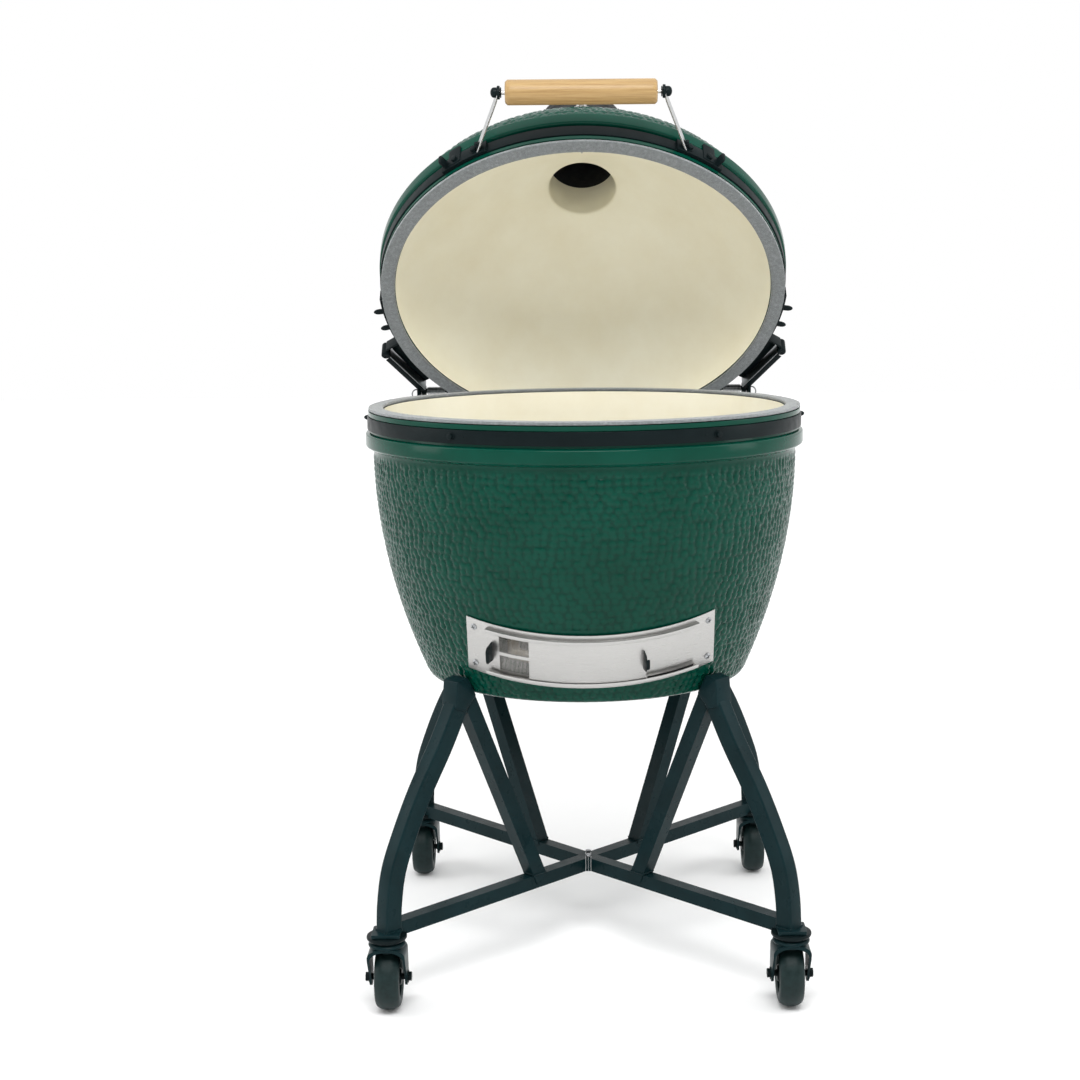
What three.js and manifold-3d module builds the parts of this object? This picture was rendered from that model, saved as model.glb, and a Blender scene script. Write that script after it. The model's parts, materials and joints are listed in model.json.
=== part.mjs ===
// Ceramic kamado grill on a wheeled stand, with its lid swung open.
// Units are millimetres, +Z is up, the front of the grill faces -Y, and the stand's casters touch z = 0.
// Everything is built about the bowl's own vertical axis, then moved so that the whole object is centred.

import * as THREE from "three";
import { mergeVertices } from "three/addons/utils/BufferGeometryUtils.js";
import Module from "manifold-3d";

const wasm = await Module();
wasm.setup();

// ---------- driving dimensions ----------

const CENTRE_SHIFT_Y = -121.2; // moves the bowl's axis so that the open grill's box is centred on y = 0
const GAP = 0.3; // clearance between pieces that touch

// ceramic bowl and dome
const RIM_Z = 909; // top of the lower gasket
const RIM_R = 350; // outer radius of the ceramic rims and gaskets
const GASKET_INNER_R = 326;
const GASKET_T = 5;
const LIP_H = 14; // from the gasket's free face to the steel band
const BAND_H = 21;
const BAND_T = 4;
const SEAT_R = 347.5; // ceramic under the steel band
const RIDGE_R = 354.5; // raised ring beside the band
const RIDGE_FROM = 41;
const RIDGE_TO = 61;
const SIDE_FROM = 69; // where the curved side starts, measured from the rim plane
const SIDE_R = 343; // radius there
const BOWL_DEPTH = 446;
const BOWL_SIDE_DEPTH = 417; // where the side turns into the bottom
const BOWL_SIDE_R = 268.5;
const DOME_TOP = 298;
const DOME_TOP_R = 78;
const DOME_SHAPE = 1.6; // exponent of the dome's outline
const CHIMNEY_R = 61;
const CHIMNEY_TOP = 348;
const WALL = 26;
const ROUND = 32; // facets around the ceramics

// lid and its two-pivot hinge
const LID_OPEN_DEG = 45.86;
const LID_OPEN_AT = [0, 218.7, 1074]; // centre of the lid's rim plane when open
const LOWER_PIVOT = [323.2, RIM_Z - 70.1]; // y, z of the pivot on the bowl's bracket
const UPPER_PIVOT = [260, 20]; // y, z of the pivot in the lid's own frame
const PIN_R = 5;
const PLATE_T = 5;
const BRACKET_X = 310; // inner face of the bowl bracket's plate
const ARM_X = 303;
const EYE_X = 295.5;
const SPRING_FROM_X = 257;
const SPRING_TO_X = 293;

// draft door: a curved steel frame that lies on the bowl's taper
const DRAFT_TILT_DEG = 22;
const DRAFT_TURN_DEG = 1.7; // the frame sits a little to the right of the bowl's front
const DRAFT_R = 310; // outer face of the frame plate
const DRAFT_HALF_DEG = 37.6;
const DRAFT_H = 95;
const DRAFT_AXIS = [-3.9, RIM_Z - 250.7]; // y, z of the frame's axis at its middle height
const DRAFT_RAIL_DEG = [-30.5, 31];
const DRAFT_WINDOW_DEG = [-27.5, 1.5];
const DRAFT_WINDOW_H = 64;

// stand
const TUBE_W = 30;
const TUBE_D = 27;
const RAIL_SIZE = 22;
const RAIL_Z = 131;
const STRUT_SIZE = 25;
const FOOT = 309; // x and y of the legs' feet
const LEG_TOP_Z = 497;
const CASTER_Z = 124; // underside of the legs

// casters
const WHEEL_R = 50;
const WHEEL_W = 40;
const FORK_HALF_W = 29;
const FORK_T = 3.5;
const TRAIL = 16;

// ---------- materials ----------

const finish = (color, roughness, metalness) => ({ color, roughness, metalness });
const GLAZE = finish(0x0f4a38, 0.25, 0);
const CERAMIC = finish(0xd9cfb4, 0.7, 0);
const FELT = finish(0x80868a, 1, 0);
const BLACK_STEEL = finish(0x14181a, 0.45, 0.3);
const STAND_PAINT = finish(0x17282c, 0.45, 0.3);
const STAINLESS = finish(0xc9c8c4, 0.3, 1);
const SPRING_STEEL = finish(0x55585a, 0.4, 1);
const WOOD = finish(0xc99a5f, 0.55, 0);
const CAST_IRON = finish(0x1b1c1d, 0.75, 0.5);
const RUBBER = finish(0x101312, 0.8, 0);

// ---------- geometry helpers ----------

const deg = THREE.MathUtils.degToRad;
const v2 = (x, y) => new THREE.Vector2(x, y);
const v3 = (x, y, z) => new THREE.Vector3(x, y, z);

function bare(geometry) {
  const copy = geometry.index ? geometry.clone() : mergeVertices(geometry);
  copy.deleteAttribute("normal");
  copy.deleteAttribute("uv");
  return mergeVertices(copy, 1e-3);
}

function toSolid(geometry) {
  const merged = bare(geometry);
  const triVerts = new Uint32Array(merged.index.array);
  const vertProperties = merged.attributes.position.array;
  let solid = new wasm.Manifold(new wasm.Mesh({ numProp: 3, vertProperties, triVerts }));
  if (solid.volume() < 0) {
    const turned = triVerts.slice();
    for (let i = 0; i < turned.length; i += 3) {
      [turned[i + 1], turned[i + 2]] = [turned[i + 2], turned[i + 1]];
    }
    solid = new wasm.Manifold(new wasm.Mesh({ numProp: 3, vertProperties, triVerts: turned }));
  }
  return solid;
}

function toGeometry(solid) {
  const mesh = solid.getMesh();
  const geometry = new THREE.BufferGeometry();
  const positions = new Float32Array(mesh.numVert * 3);
  for (let i = 0; i < mesh.numVert; i++) {
    for (let k = 0; k < 3; k++) positions[3 * i + k] = mesh.vertProperties[mesh.numProp * i + k];
  }
  geometry.setAttribute("position", new THREE.BufferAttribute(positions, 3));
  geometry.setIndex(new THREE.BufferAttribute(new Uint32Array(mesh.triVerts), 1));
  return geometry;
}

function join(...geometries) {
  return toGeometry(geometries.map(toSolid).reduce((all, next) => all.add(next)));
}

function cut(geometry, ...tools) {
  return toGeometry(tools.map(toSolid).reduce((left, tool) => left.subtract(tool), toSolid(geometry)));
}

// A closed outline of [radius, height] pairs turned about Z.
function turned(outline, facets = ROUND) {
  const points = outline.map(([r, z]) => v2(r, z));
  const closed = points[0].x < 1e-6 && points.at(-1).x < 1e-6;
  if (!closed) points.push(points[0].clone());
  return toGeometry(toSolid(new THREE.LatheGeometry(points, facets).rotateX(Math.PI / 2)));
}

const ring = (inner, outer, z0, z1, facets = ROUND) =>
  turned([[inner, z0], [outer, z0], [outer, z1], [inner, z1]], facets);

// A cylinder along X, Y or Z, centred on `at`.
function rod(axis, radius, length, at, facets = 20) {
  const geometry = new THREE.CylinderGeometry(radius, radius, length, facets);
  if (axis === "x") geometry.rotateZ(Math.PI / 2);
  if (axis === "z") geometry.rotateX(Math.PI / 2);
  return geometry.translate(...at);
}

const block = (size, at) => new THREE.BoxGeometry(...size).translate(...at);

// An outline in a plane, given thickness. Points are [u, v]; `turn` carries the plane into place.
function plate(outline, thickness, holes = []) {
  const shape = new THREE.Shape(outline.map(([u, v]) => v2(u, v)));
  for (const [u, v, r] of holes) {
    shape.holes.push(new THREE.Path().absarc(u, v, r, 0, 2 * Math.PI, true));
  }
  return new THREE.ExtrudeGeometry(shape, { depth: thickness, bevelEnabled: false, curveSegments: 10 });
}

// A plate whose outline is [y, z], lying across X from x to x + thickness.
function crossPlate(outline, x, thickness, holes = []) {
  const geometry = plate(outline, thickness, holes);
  const basis = new THREE.Matrix4().makeBasis(v3(0, 1, 0), v3(0, 0, 1), v3(1, 0, 0));
  return geometry.applyMatrix4(basis).translate(x, 0, 0);
}

// A square-cornered bar of the given section between two points; `up` fixes how it is rolled.
function bar(from, to, width, depth, up = v3(0, 0, 1)) {
  const along = to.clone().sub(from);
  const side = new THREE.Vector3().crossVectors(up, along).normalize();
  const top = new THREE.Vector3().crossVectors(along, side).normalize();
  const basis = new THREE.Matrix4().makeBasis(side, along.clone().normalize(), top);
  const middle = from.clone().add(to).multiplyScalar(0.5);
  return new THREE.BoxGeometry(width, along.length(), depth)
    .applyMatrix4(basis)
    .translate(middle.x, middle.y, middle.z);
}

// A piece of ring between two angles, measured from the front (-Y) towards +X.
function arcBand(inner, outer, z0, z1, fromDeg, toDeg, facets = 12) {
  const outline = [];
  for (let i = 0; i <= facets; i++) {
    const a = deg(THREE.MathUtils.lerp(fromDeg, toDeg, i / facets));
    outline.push([outer * Math.sin(a), -outer * Math.cos(a)]);
  }
  for (let i = facets; i >= 0; i--) {
    const a = deg(THREE.MathUtils.lerp(fromDeg, toDeg, i / facets));
    outline.push([inner * Math.sin(a), -inner * Math.cos(a)]);
  }
  return plate(outline, z1 - z0).translate(0, 0, z0);
}

// Points on a parabola that leaves `from` upright and reaches `to`.
function side(from, to, steps) {
  const control = v2(from[0], (from[1] + to[1]) / 2);
  const curve = new THREE.QuadraticBezierCurve(v2(...from), control, v2(...to));
  return curve.getPoints(steps).map((p) => [p.x, p.y]);
}

const mirrored = (geometry) => toGeometry(toSolid(geometry).mirror([1, 0, 0]));

function node(name, geometry, look) {
  const mesh = new THREE.Mesh(toGeometry(toSolid(geometry)), new THREE.MeshStandardMaterial(look));
  mesh.geometry.computeVertexNormals();
  mesh.name = name;
  return mesh;
}

// Two mirror-image nodes, NAME_left and NAME_right, from the right-hand geometry.
const pair = (name, geometry, look) => [
  node(`${name}_right`, geometry, look),
  node(`${name}_left`, mirrored(geometry), look),
];

// ---------- ceramic bowl ----------

// The outline of the rim: gasket face, lip, seat of the steel band, raised ring. `down` is -1 below the rim plane.
function rimOutline(down) {
  const at = (r, h) => [r, down * h];
  return [
    at(RIM_R, GASKET_T + GAP),
    at(RIM_R, LIP_H - 1),
    at(SEAT_R, LIP_H),
    at(SEAT_R, RIDGE_FROM - 1),
    at(RIDGE_R, RIDGE_FROM),
    at(RIDGE_R, RIDGE_TO),
  ];
}

function bowlOutside() {
  return [
    ...rimOutline(-1),
    ...side([SIDE_R, -SIDE_FROM], [BOWL_SIDE_R, -BOWL_SIDE_DEPTH], 6),
    [259, -433],
    [238, -441],
    [190, -BOWL_DEPTH],
    [0, -BOWL_DEPTH],
  ];
}

function bowlInside() {
  const floor = -BOWL_DEPTH + WALL + 2;
  return [
    [0, floor],
    [200, floor],
    [225, floor + 8],
    ...side([SIDE_R - 19, -30], [BOWL_SIDE_R - 28, -BOWL_SIDE_DEPTH + 12], 4).reverse(),
    [GASKET_INNER_R - 1, -GASKET_T - GAP],
  ];
}

// The frame of the draft door: Z runs up the bowl's front along its taper.
function draftPlace(geometry) {
  const tilted = geometry.rotateZ(deg(DRAFT_TURN_DEG)).rotateX(deg(DRAFT_TILT_DEG));
  return tilted.translate(0, DRAFT_AXIS[0], DRAFT_AXIS[1]);
}

function draftTunnel() {
  const [from, to] = DRAFT_WINDOW_DEG;
  const h = DRAFT_WINDOW_H / 2;
  return draftPlace(arcBand(DRAFT_R - 75, DRAFT_R + 20, -h, h, from, to));
}

function bowl() {
  const shell = turned([...bowlOutside().reverse(), ...bowlInside().reverse()]).translate(0, 0, RIM_Z);
  const seat = draftPlace(
    arcBand(DRAFT_R - 1.5 - GAP, DRAFT_R + 20, -DRAFT_H / 2 - 0.5, DRAFT_H / 2 + 0.5,
      -DRAFT_HALF_DEG - 0.3, DRAFT_HALF_DEG + 0.3, 20),
  );
  return node("base_bowl", cut(shell, draftTunnel(), seat), GLAZE);
}

const gasket = (name, down) =>
  node(name, ring(GASKET_INNER_R, RIM_R - 0.5, down > 0 ? 0 : -GASKET_T, down > 0 ? GASKET_T : 0), FELT);

function clampBand(name, down) {
  const near = down * (LIP_H + GAP);
  const far = down * (LIP_H + BAND_H);
  const inner = SEAT_R + GAP;
  const hoop = ring(inner, inner + BAND_T, Math.min(near, far), Math.max(near, far));
  return node(name, hoop, BLACK_STEEL);
}

// ---------- what the bowl holds ----------

function firebox() {
  const foot = RIM_Z - BOWL_DEPTH + WALL + 2 + GAP;
  const top = RIM_Z - 215;
  const cup = turned([
    [100, foot], [190, foot], [236, top], [212, top], [168, foot + 45], [150, foot + 45], [150, foot + 30],
    [100, foot + 30],
  ], 28);
  const mouth = block([150, 160, 46], [-45, -190, foot + 53]);
  return node("firebox", cut(cup, mouth), CERAMIC);
}

function fireGrate() {
  const z = RIM_Z - BOWL_DEPTH + WALL + 2 + 30 + 2 * GAP;
  const disc = rod("z", 147, 9, [0, 0, z + 4.5], 32);
  const slots = [];
  for (let i = -5; i <= 5; i++) {
    const half = Math.sqrt(128 ** 2 - (i * 22) ** 2);
    slots.push(block([9, half * 2, 20], [i * 22, 0, z + 4]));
  }
  return node("fire_grate", cut(disc, ...slots), CAST_IRON);
}

function fireRing() {
  const z0 = RIM_Z - 215 + GAP;
  const z1 = RIM_Z - 88;
  return node("fire_ring", turned([[212, z0], [238, z0], [272, z1], [246, z1]], 28), CERAMIC);
}

function cookingGrid() {
  const z = RIM_Z - 88 + GAP;
  const pitch = 36;
  const disc = ring(0, 290, z, z + 7);
  const gaps = [];
  for (let i = -7.5; i <= 7.5; i++) {
    const half = Math.sqrt(280 ** 2 - (Math.abs(i) * pitch + 15) ** 2 || 0);
    if (half > 20) gaps.push(block([pitch - 7, half * 2, 30], [i * pitch, 0, z]));
  }
  return node("cooking_grid", cut(disc, ...gaps), STAINLESS);
}

// ---------- draft door ----------

function draftFrame() {
  const half = DRAFT_H / 2;
  const [railFrom, railTo] = DRAFT_RAIL_DEG;
  const skin = arcBand(DRAFT_R - 1.5, DRAFT_R, -half, half, -DRAFT_HALF_DEG, DRAFT_HALF_DEG, 20);
  const [from, to] = DRAFT_WINDOW_DEG;
  const window = arcBand(DRAFT_R - 10, DRAFT_R + 10, -DRAFT_WINDOW_H / 2, DRAFT_WINDOW_H / 2, from, to, 8);
  const rails = [];
  for (const s of [-1, 1]) {
    const z = (a, b) => [Math.min(s * a, s * b), Math.max(s * a, s * b)];
    rails.push(arcBand(DRAFT_R - 0.5, DRAFT_R + 8, ...z(half - 8, half - 6.5), railFrom, railTo, 14));
    rails.push(arcBand(DRAFT_R + 6.8, DRAFT_R + 8, ...z(half - 13, half - 6.5), railFrom, railTo, 14));
  }
  return node("draft_frame", draftPlace(join(cut(skin, window), ...rails)), STAINLESS);
}

const SLIDER_HALF_H = DRAFT_H / 2 - 8 - GAP;
const SLIDER_T = 1.5;
const DOOR_INNER = DRAFT_R + 4.6;
const SCREEN_INNER = DRAFT_R + 1;

// A sliding plate is a span of angles between the frame's rails.
function slider(inner, fromDeg, toDeg) {
  return arcBand(inner, inner + SLIDER_T, -SLIDER_HALF_H, SLIDER_HALF_H, fromDeg, toDeg, 10);
}

// A pull tab stands out of a sliding plate near one of its ends.
function pullTab(fromRadius, atDeg) {
  return arcBand(fromRadius, DRAFT_R + 22, -17, 17, atDeg, atDeg + 0.4, 1);
}

function draftDoor() {
  const plate = slider(DOOR_INNER, -17.6, 14.9);
  return node("draft_door", draftPlace(join(plate, pullTab(DOOR_INNER + 1, 14))), STAINLESS);
}

function draftScreen() {
  const windows = [];
  for (const from of [-26.6, -16.6, -6.6]) {
    for (const z of [3, -33]) {
      windows.push(arcBand(SCREEN_INNER - 5, SCREEN_INNER + 5, z, z + 30, from, from + 8.8, 2));
    }
  }
  const plate = cut(slider(SCREEN_INNER, -29.3, 3), ...windows);
  const tab = pullTab(SCREEN_INNER + SLIDER_T + GAP, -29.2);
  return [
    node("draft_screen", draftPlace(plate), STAINLESS),
    node("draft_screen_tab", draftPlace(tab), STAINLESS),
  ];
}

// ---------- hinge ----------

const bandSurface = (z0, z1) => ring(100, SEAT_R + BAND_T + 2 * GAP, z0, z1, ROUND);
const ridgeSurface = (z0, z1) => ring(100, RIDGE_R + 2 * GAP, z0, z1, ROUND);

// A link outline from one round eye to another, as [y, z] points.
function linkOutline([ya, za], [yb, zb], radius, steps = 6) {
  const heading = Math.atan2(zb - za, yb - ya);
  const outline = [];
  for (const [y, z, start] of [[yb, zb, heading - Math.PI / 2], [ya, za, heading + Math.PI / 2]]) {
    for (let i = 0; i <= steps; i++) {
      const a = start + (Math.PI * i) / steps;
      outline.push([y + radius * Math.cos(a), z + radius * Math.sin(a)]);
    }
  }
  return outline;
}

function toOpenLid(y, z) {
  const a = deg(LID_OPEN_DEG);
  return [
    LID_OPEN_AT[1] + y * Math.cos(a) + z * Math.sin(a),
    LID_OPEN_AT[2] - y * Math.sin(a) + z * Math.cos(a),
  ];
}

function hingeBaseBracket() {
  const [py, pz] = LOWER_PIVOT;
  const top = RIM_Z - LIP_H - 1;
  const web = crossPlate(
    [[172, top], [225, top], [py + 9, pz + 11], [py + 14, pz - 2], [py + 3, pz - 14], [270, pz - 12], [172, top - 22]],
    BRACKET_X, PLATE_T,
  );
  const foot = arcBand(SEAT_R + BAND_T + 2 * GAP, SEAT_R + BAND_T + 5, top - BAND_H + 2, top, 104, 122, 8);
  const pin = rod("x", PIN_R, 12, [BRACKET_X - 3, py, pz]);
  const head = rod("x", PIN_R + 3, 4, [BRACKET_X + PLATE_T + 1.5, py, pz], 6);
  return cut(join(web, foot, pin, head), bandSurface(top - 24, top + 20), ridgeSurface(top - 100, top - 20));
}

function hingeArm() {
  const lower = LOWER_PIVOT;
  const upper = toOpenLid(...UPPER_PIVOT);
  const hole = [lower[0], lower[1], PIN_R + 0.35];
  const link = crossPlate(linkOutline(lower, upper, 12), ARM_X, PLATE_T, [hole]);
  const length = ARM_X + 1 - SPRING_FROM_X + 3;
  const pin = rod("x", PIN_R - 1, length, [ARM_X + 1 - length / 2, upper[0], upper[1]]);
  const cap = rod("x", PIN_R + 2, 3, [SPRING_FROM_X - 3.5, upper[0], upper[1]]);
  return join(link, pin, cap);
}

function hingeSpring() {
  const [y, z] = toOpenLid(...UPPER_PIVOT);
  const coil = ring(PIN_R - 0.5, PIN_R + 2, 0, SPRING_TO_X - SPRING_FROM_X, 20);
  return coil.rotateY(Math.PI / 2).translate(SPRING_FROM_X, y, z);
}

// ---------- stand ----------

// The leg's centre line in its own diagonal plane: [distance from the axis along x, height].
const LEG_LINE = [[195, 478], [226, 401], [257, 335], [281, 273], [297, 222], [304, 172], [306, CASTER_Z]];

// Carries a [distance, height] outline into the diagonal plane of corner (sx, sy).
function diagonal(outline, thickness, sx, sy) {
  const geometry = plate(outline, thickness).translate(0, 0, -thickness / 2);
  const out = v3(sx * Math.SQRT1_2, sy * Math.SQRT1_2, 0);
  const up = v3(0, 0, 1);
  return geometry.applyMatrix4(new THREE.Matrix4().makeBasis(out, up, out.clone().cross(up)));
}

function ribbon(centres, width) {
  const curve = new THREE.CatmullRomCurve3(centres.map(([s, z]) => v3(s * Math.SQRT2, z, 0)));
  const left = [];
  const right = [];
  const steps = 10;
  for (let i = 0; i <= steps; i++) {
    const p = curve.getPoint(i / steps);
    const t = curve.getTangent(i / steps);
    left.push([p.x - (t.y * width) / 2, p.y + (t.x * width) / 2]);
    right.unshift([p.x + (t.y * width) / 2, p.y - (t.x * width) / 2]);
  }
  return [...left, ...right];
}

// The space that the bowl takes, a little larger than the bowl.
function bowlSpace(extra = GAP) {
  const outline = bowlOutside().map(([r, z]) => [r > 0 ? r + extra : 0, z - extra + (z > -60 ? extra : 0)]);
  return turned([[0, 0], ...outline], ROUND).translate(0, 0, RIM_Z);
}

const STRUT_TOP = [189, 457];
const STRUT_FOOT = [88, RAIL_Z + RAIL_SIZE / 2];

function leg(name, sx, sy) {
  const tube = diagonal(ribbon(LEG_LINE, TUBE_W), TUBE_D, sx, sy);
  const foot = block([44, 44, 6], [sx * FOOT, sy * FOOT, CASTER_Z + 3 + GAP]);
  const seat = [[184, 470], [200, 448], [214, 456], [211, LEG_TOP_Z], [196, LEG_TOP_Z + 4]]
    .map(([s, z]) => [s * Math.SQRT2, z]);
  const cradle = diagonal(seat, 34, sx, sy);
  const under = block([200, 200, 60], [sx * FOOT, sy * FOOT, CASTER_Z + GAP - 30]);
  return node(name, cut(join(tube, foot, cradle), under, bowlSpace()), STAND_PAINT);
}

function strut(name, sx, sy, legMesh, railMesh) {
  const line = (s, z) => v3(sx * s, sy * s, z);
  const over = 10;
  const dir = [STRUT_TOP[0] - STRUT_FOOT[0], STRUT_TOP[1] - STRUT_FOOT[1]];
  const k = over / Math.hypot(...dir);
  const from = line(STRUT_FOOT[0] - dir[0] * k, STRUT_FOOT[1] - dir[1] * k);
  const to = line(STRUT_TOP[0] + dir[0] * k, STRUT_TOP[1] + dir[1] * k);
  const tube = bar(from, to, STRUT_SIZE, STRUT_SIZE, v3(sx, sy, 0));
  return node(name, cut(tube, grown(legMesh), grown(railMesh), bowlSpace(2)), STAND_PAINT);
}

// A neighbour's solid, thickened by the touching gap in six directions, to cut a piece back from it.
function grown(mesh) {
  const solid = toSolid(mesh.geometry);
  const steps = [[GAP, 0, 0], [-GAP, 0, 0], [0, GAP, 0], [0, -GAP, 0], [0, 0, GAP], [0, 0, -GAP]];
  return toGeometry(steps.map((s) => solid.translate(s)).reduce((all, next) => all.add(next)));
}

function rail(name, sx, sy, legMesh) {
  const from = v3(0, 0, RAIL_Z);
  const to = v3(sx * (FOOT - 2), sy * (FOOT - 2), RAIL_Z);
  const tube = bar(from, to, RAIL_SIZE, RAIL_SIZE);
  const pastHub = block([200, 200, 60], [sx * (HUB_T + 2 * GAP - 100), 0, RAIL_Z]);
  const pastMiddle = block([200, 200, 60], [0, -sy * (100 - GAP / 2), RAIL_Z]);
  const overStem = rod("z", FORK_HALF_W + 3, 20, [sx * FOOT, sy * FOOT, CASTER_Z + GAP - 10], 20);
  return node(name, cut(tube, pastHub, pastMiddle, overStem, grown(legMesh)), STAND_PAINT);
}

const HUB_T = 4;

function hubPlate(name, sx) {
  const sheet = block([HUB_T, 40, RAIL_SIZE], [sx * (HUB_T / 2 + GAP / 2), 0, RAIL_Z]);
  return node(name, sheet, STAND_PAINT);
}

function cradleBar(name, sx, neighbours) {
  const x = sx * 209;
  const tube = bar(v3(x, -206, 441), v3(x, 206, 441), 20, 20);
  return node(name, cut(tube, ...neighbours.map(grown), bowlSpace(2)), STAND_PAINT);
}

// ---------- casters ----------

function casterStem(name, x, y) {
  const top = rod("z", FORK_HALF_W + 1, 5, [x, y, CASTER_Z - 2.5], 20);
  const pin = rod("z", 7, 16, [x, y, CASTER_Z - 12], 12);
  const nut = rod("z", 11, 3, [x, y, CASTER_Z - 21], 12);
  return node(name, join(top, pin, nut), CAST_IRON);
}

function casterFork(name, x, y) {
  const z = WHEEL_R;
  const axleY = y + TRAIL;
  const inner = FORK_HALF_W - FORK_T;
  const cheeks = [-1, 1].map((s) =>
    crossPlate(
      [[y - 20, 106.5], [y + 24, 106.5], [axleY + 13, z + 6], [axleY + 8, z - 10], [axleY - 8, z - 10], [axleY - 13, z + 6]],
      x + (s > 0 ? inner : -FORK_HALF_W), FORK_T,
    ));
  const crown = rod("z", FORK_HALF_W, 12, [x, y, 112], 16);
  const bridge = block([2 * FORK_HALF_W, 44, 3], [x, y + 2, 105.5]);
  const bore = rod("z", 7.6, 40, [x, y, 110], 10);
  const nutRoom = rod("z", 12, 8, [x, y, 103], 10);
  const axle = rod("x", 5, 2 * inner + 14, [x, axleY, z], 10);
  return node(name, cut(join(crown, bridge, ...cheeks, axle), bore, nutRoom), BLACK_STEEL);
}

function casterWheel(name, x, y) {
  const w = WHEEL_W / 2;
  const outline = [[5.3, -w], [36, -w], [47, -w + 5], [WHEEL_R, 0], [47, w - 5], [36, w], [5.3, w]];
  const wheel = turned(outline, 28).rotateY(Math.PI / 2).translate(x, y + TRAIL, WHEEL_R);
  return node(name, wheel, RUBBER);
}

const BRAKE_PIVOT = [27, 96]; // y from the swivel's axis, and height

function brakePedal(name, x, y) {
  const [py, pz] = [y + BRAKE_PIVOT[0], BRAKE_PIVOT[1]];
  const lever = crossPlate([[py + 1, pz - 4], [py + 4, pz + 5], [py + 40, pz - 2], [py + 43, pz - 8], [py + 20, pz - 2]],
    x - 14, 28);
  const wheelRoom = rod("x", WHEEL_R + 1, 60, [x, y + TRAIL, WHEEL_R], 32);
  return node(name, cut(lever, wheelRoom), BLACK_STEEL);
}

// ---------- lid, in its own frame: rim plane at z = 0, dome upwards, front towards -Y ----------

function domeRadius(h, from, top, r0, r1) {
  const t = (h - from) / (top - from);
  return r0 - (r0 - r1) * t ** DOME_SHAPE;
}

function domeSide(from, top, r0, r1, steps) {
  const outline = [];
  for (let i = 0; i <= steps; i++) {
    const h = THREE.MathUtils.lerp(from, top, Math.sin((Math.PI / 2) * (i / steps)));
    outline.push([domeRadius(h, from, top, r0, r1), h]);
  }
  return outline;
}

function lidDome() {
  const outside = [
    ...rimOutline(1),
    ...domeSide(SIDE_FROM, DOME_TOP, SIDE_R, DOME_TOP_R, 7),
    [DOME_TOP_R - 6, DOME_TOP + 3],
    [DOME_TOP_R - 6, CHIMNEY_TOP],
  ];
  const inside = [
    [CHIMNEY_R, CHIMNEY_TOP],
    [CHIMNEY_R, DOME_TOP - 22],
    ...domeSide(30, DOME_TOP - 27, GASKET_INNER_R - 2, CHIMNEY_R + 7, 6).reverse(),
    [GASKET_INNER_R - 1, GASKET_T + GAP],
  ];
  return node("lid_dome", cut(turned([...outside, ...inside]), thermometerHole()), GLAZE);
}

// The thermometer's own frame: Z points out of the dome's front, origin on the dome's outer face.
const THERMO_H = 160;

function thermometerPlace(geometry) {
  const r = domeRadius(THERMO_H, SIDE_FROM, DOME_TOP, SIDE_R, DOME_TOP_R);
  const ahead = domeRadius(THERMO_H + 5, SIDE_FROM, DOME_TOP, SIDE_R, DOME_TOP_R);
  const lean = Math.atan2(r - ahead, 5); // how far the dome's face leans back here
  return geometry.rotateX(Math.PI / 2 - lean).translate(0, -r, THERMO_H);
}

const thermometerHole = () => thermometerPlace(rod("z", 6, 120, [0, 0, 0], 16));

function thermometer() {
  const stem = rod("z", 3.5, 84, [0, 0, -32], 12);
  const neck = rod("z", 9, 10, [0, 0, 8], 16);
  const dial = rod("z", 30, 14, [0, 0, 18], 32);
  return node("thermometer", thermometerPlace(join(stem, neck, dial)), STAINLESS);
}

// A strap on the upper band, then a bar that stands off to the hinge's eye.
function lidBracket() {
  const z0 = LIP_H - 2;
  const z1 = LIP_H + BAND_H;
  const inner = SEAT_R + BAND_T + 2 * GAP;
  const strap = arcBand(inner, inner + 4, z0, z1, 92, 109, 5);
  const knob = v3(358, 154, (z0 + z1) / 2);
  const eye = v3(296.5, 251, (z0 + z1) / 2);
  const high = z1 - z0;
  const lift = bar(v3(341, 101, knob.z), knob, 5, high);
  const link = bar(knob, eye, 6, high);
  const post = rod("z", 8, high, knob.toArray(), 10);
  const [ey, ez] = UPPER_PIVOT;
  const boss = rod("x", 11, 22, [EYE_X + 5.5 - 11, ey, ez], 14);
  const bore = rod("x", PIN_R - 1 + 0.35, 60, [EYE_X, ey, ez], 12);
  const springRoom = rod("x", PIN_R + 3, 40, [SPRING_TO_X + 0.6 - 20, ey, ez], 12);
  return cut(join(strap, lift, link, post, boss), bore, springRoom, bandSurface(z0 - 5, z1 + 1),
    ridgeSurface(z1 + 1, z1 + 40));
}

const GRIP = { y: -425, z: 27, r: 19.5, length: 237 };
const HANDLE_ARM_X = 129;

function handleBracket() {
  const z0 = LIP_H - 1;
  const z1 = LIP_H + BAND_H + 1;
  const inner = SEAT_R + BAND_T + 2 * GAP;
  const strap = arcBand(inner, inner + 5, z0, z1, 26, 38.5, 4);
  const root = v3(168, -311, (z0 + z1) / 2);
  const tip = v3(HANDLE_ARM_X, GRIP.y, GRIP.z);
  const arm = bar(root, tip, 4, 20);
  const eye = rod("x", 11, 5, [HANDLE_ARM_X, GRIP.y, GRIP.z], 16);
  const bore = rod("x", 4.4, 40, [HANDLE_ARM_X, GRIP.y, GRIP.z], 12);
  return cut(join(strap, arm, eye), bore, bandSurface(z0 - 5, z1 + 1));
}

function handleGrip() {
  const half = GRIP.length / 2;
  const outline = [[4.5, -half], [GRIP.r, -half], [GRIP.r, half], [4.5, half]];
  return node("handle_grip", turned(outline, 28).rotateY(Math.PI / 2).translate(0, GRIP.y, GRIP.z), WOOD);
}

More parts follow.
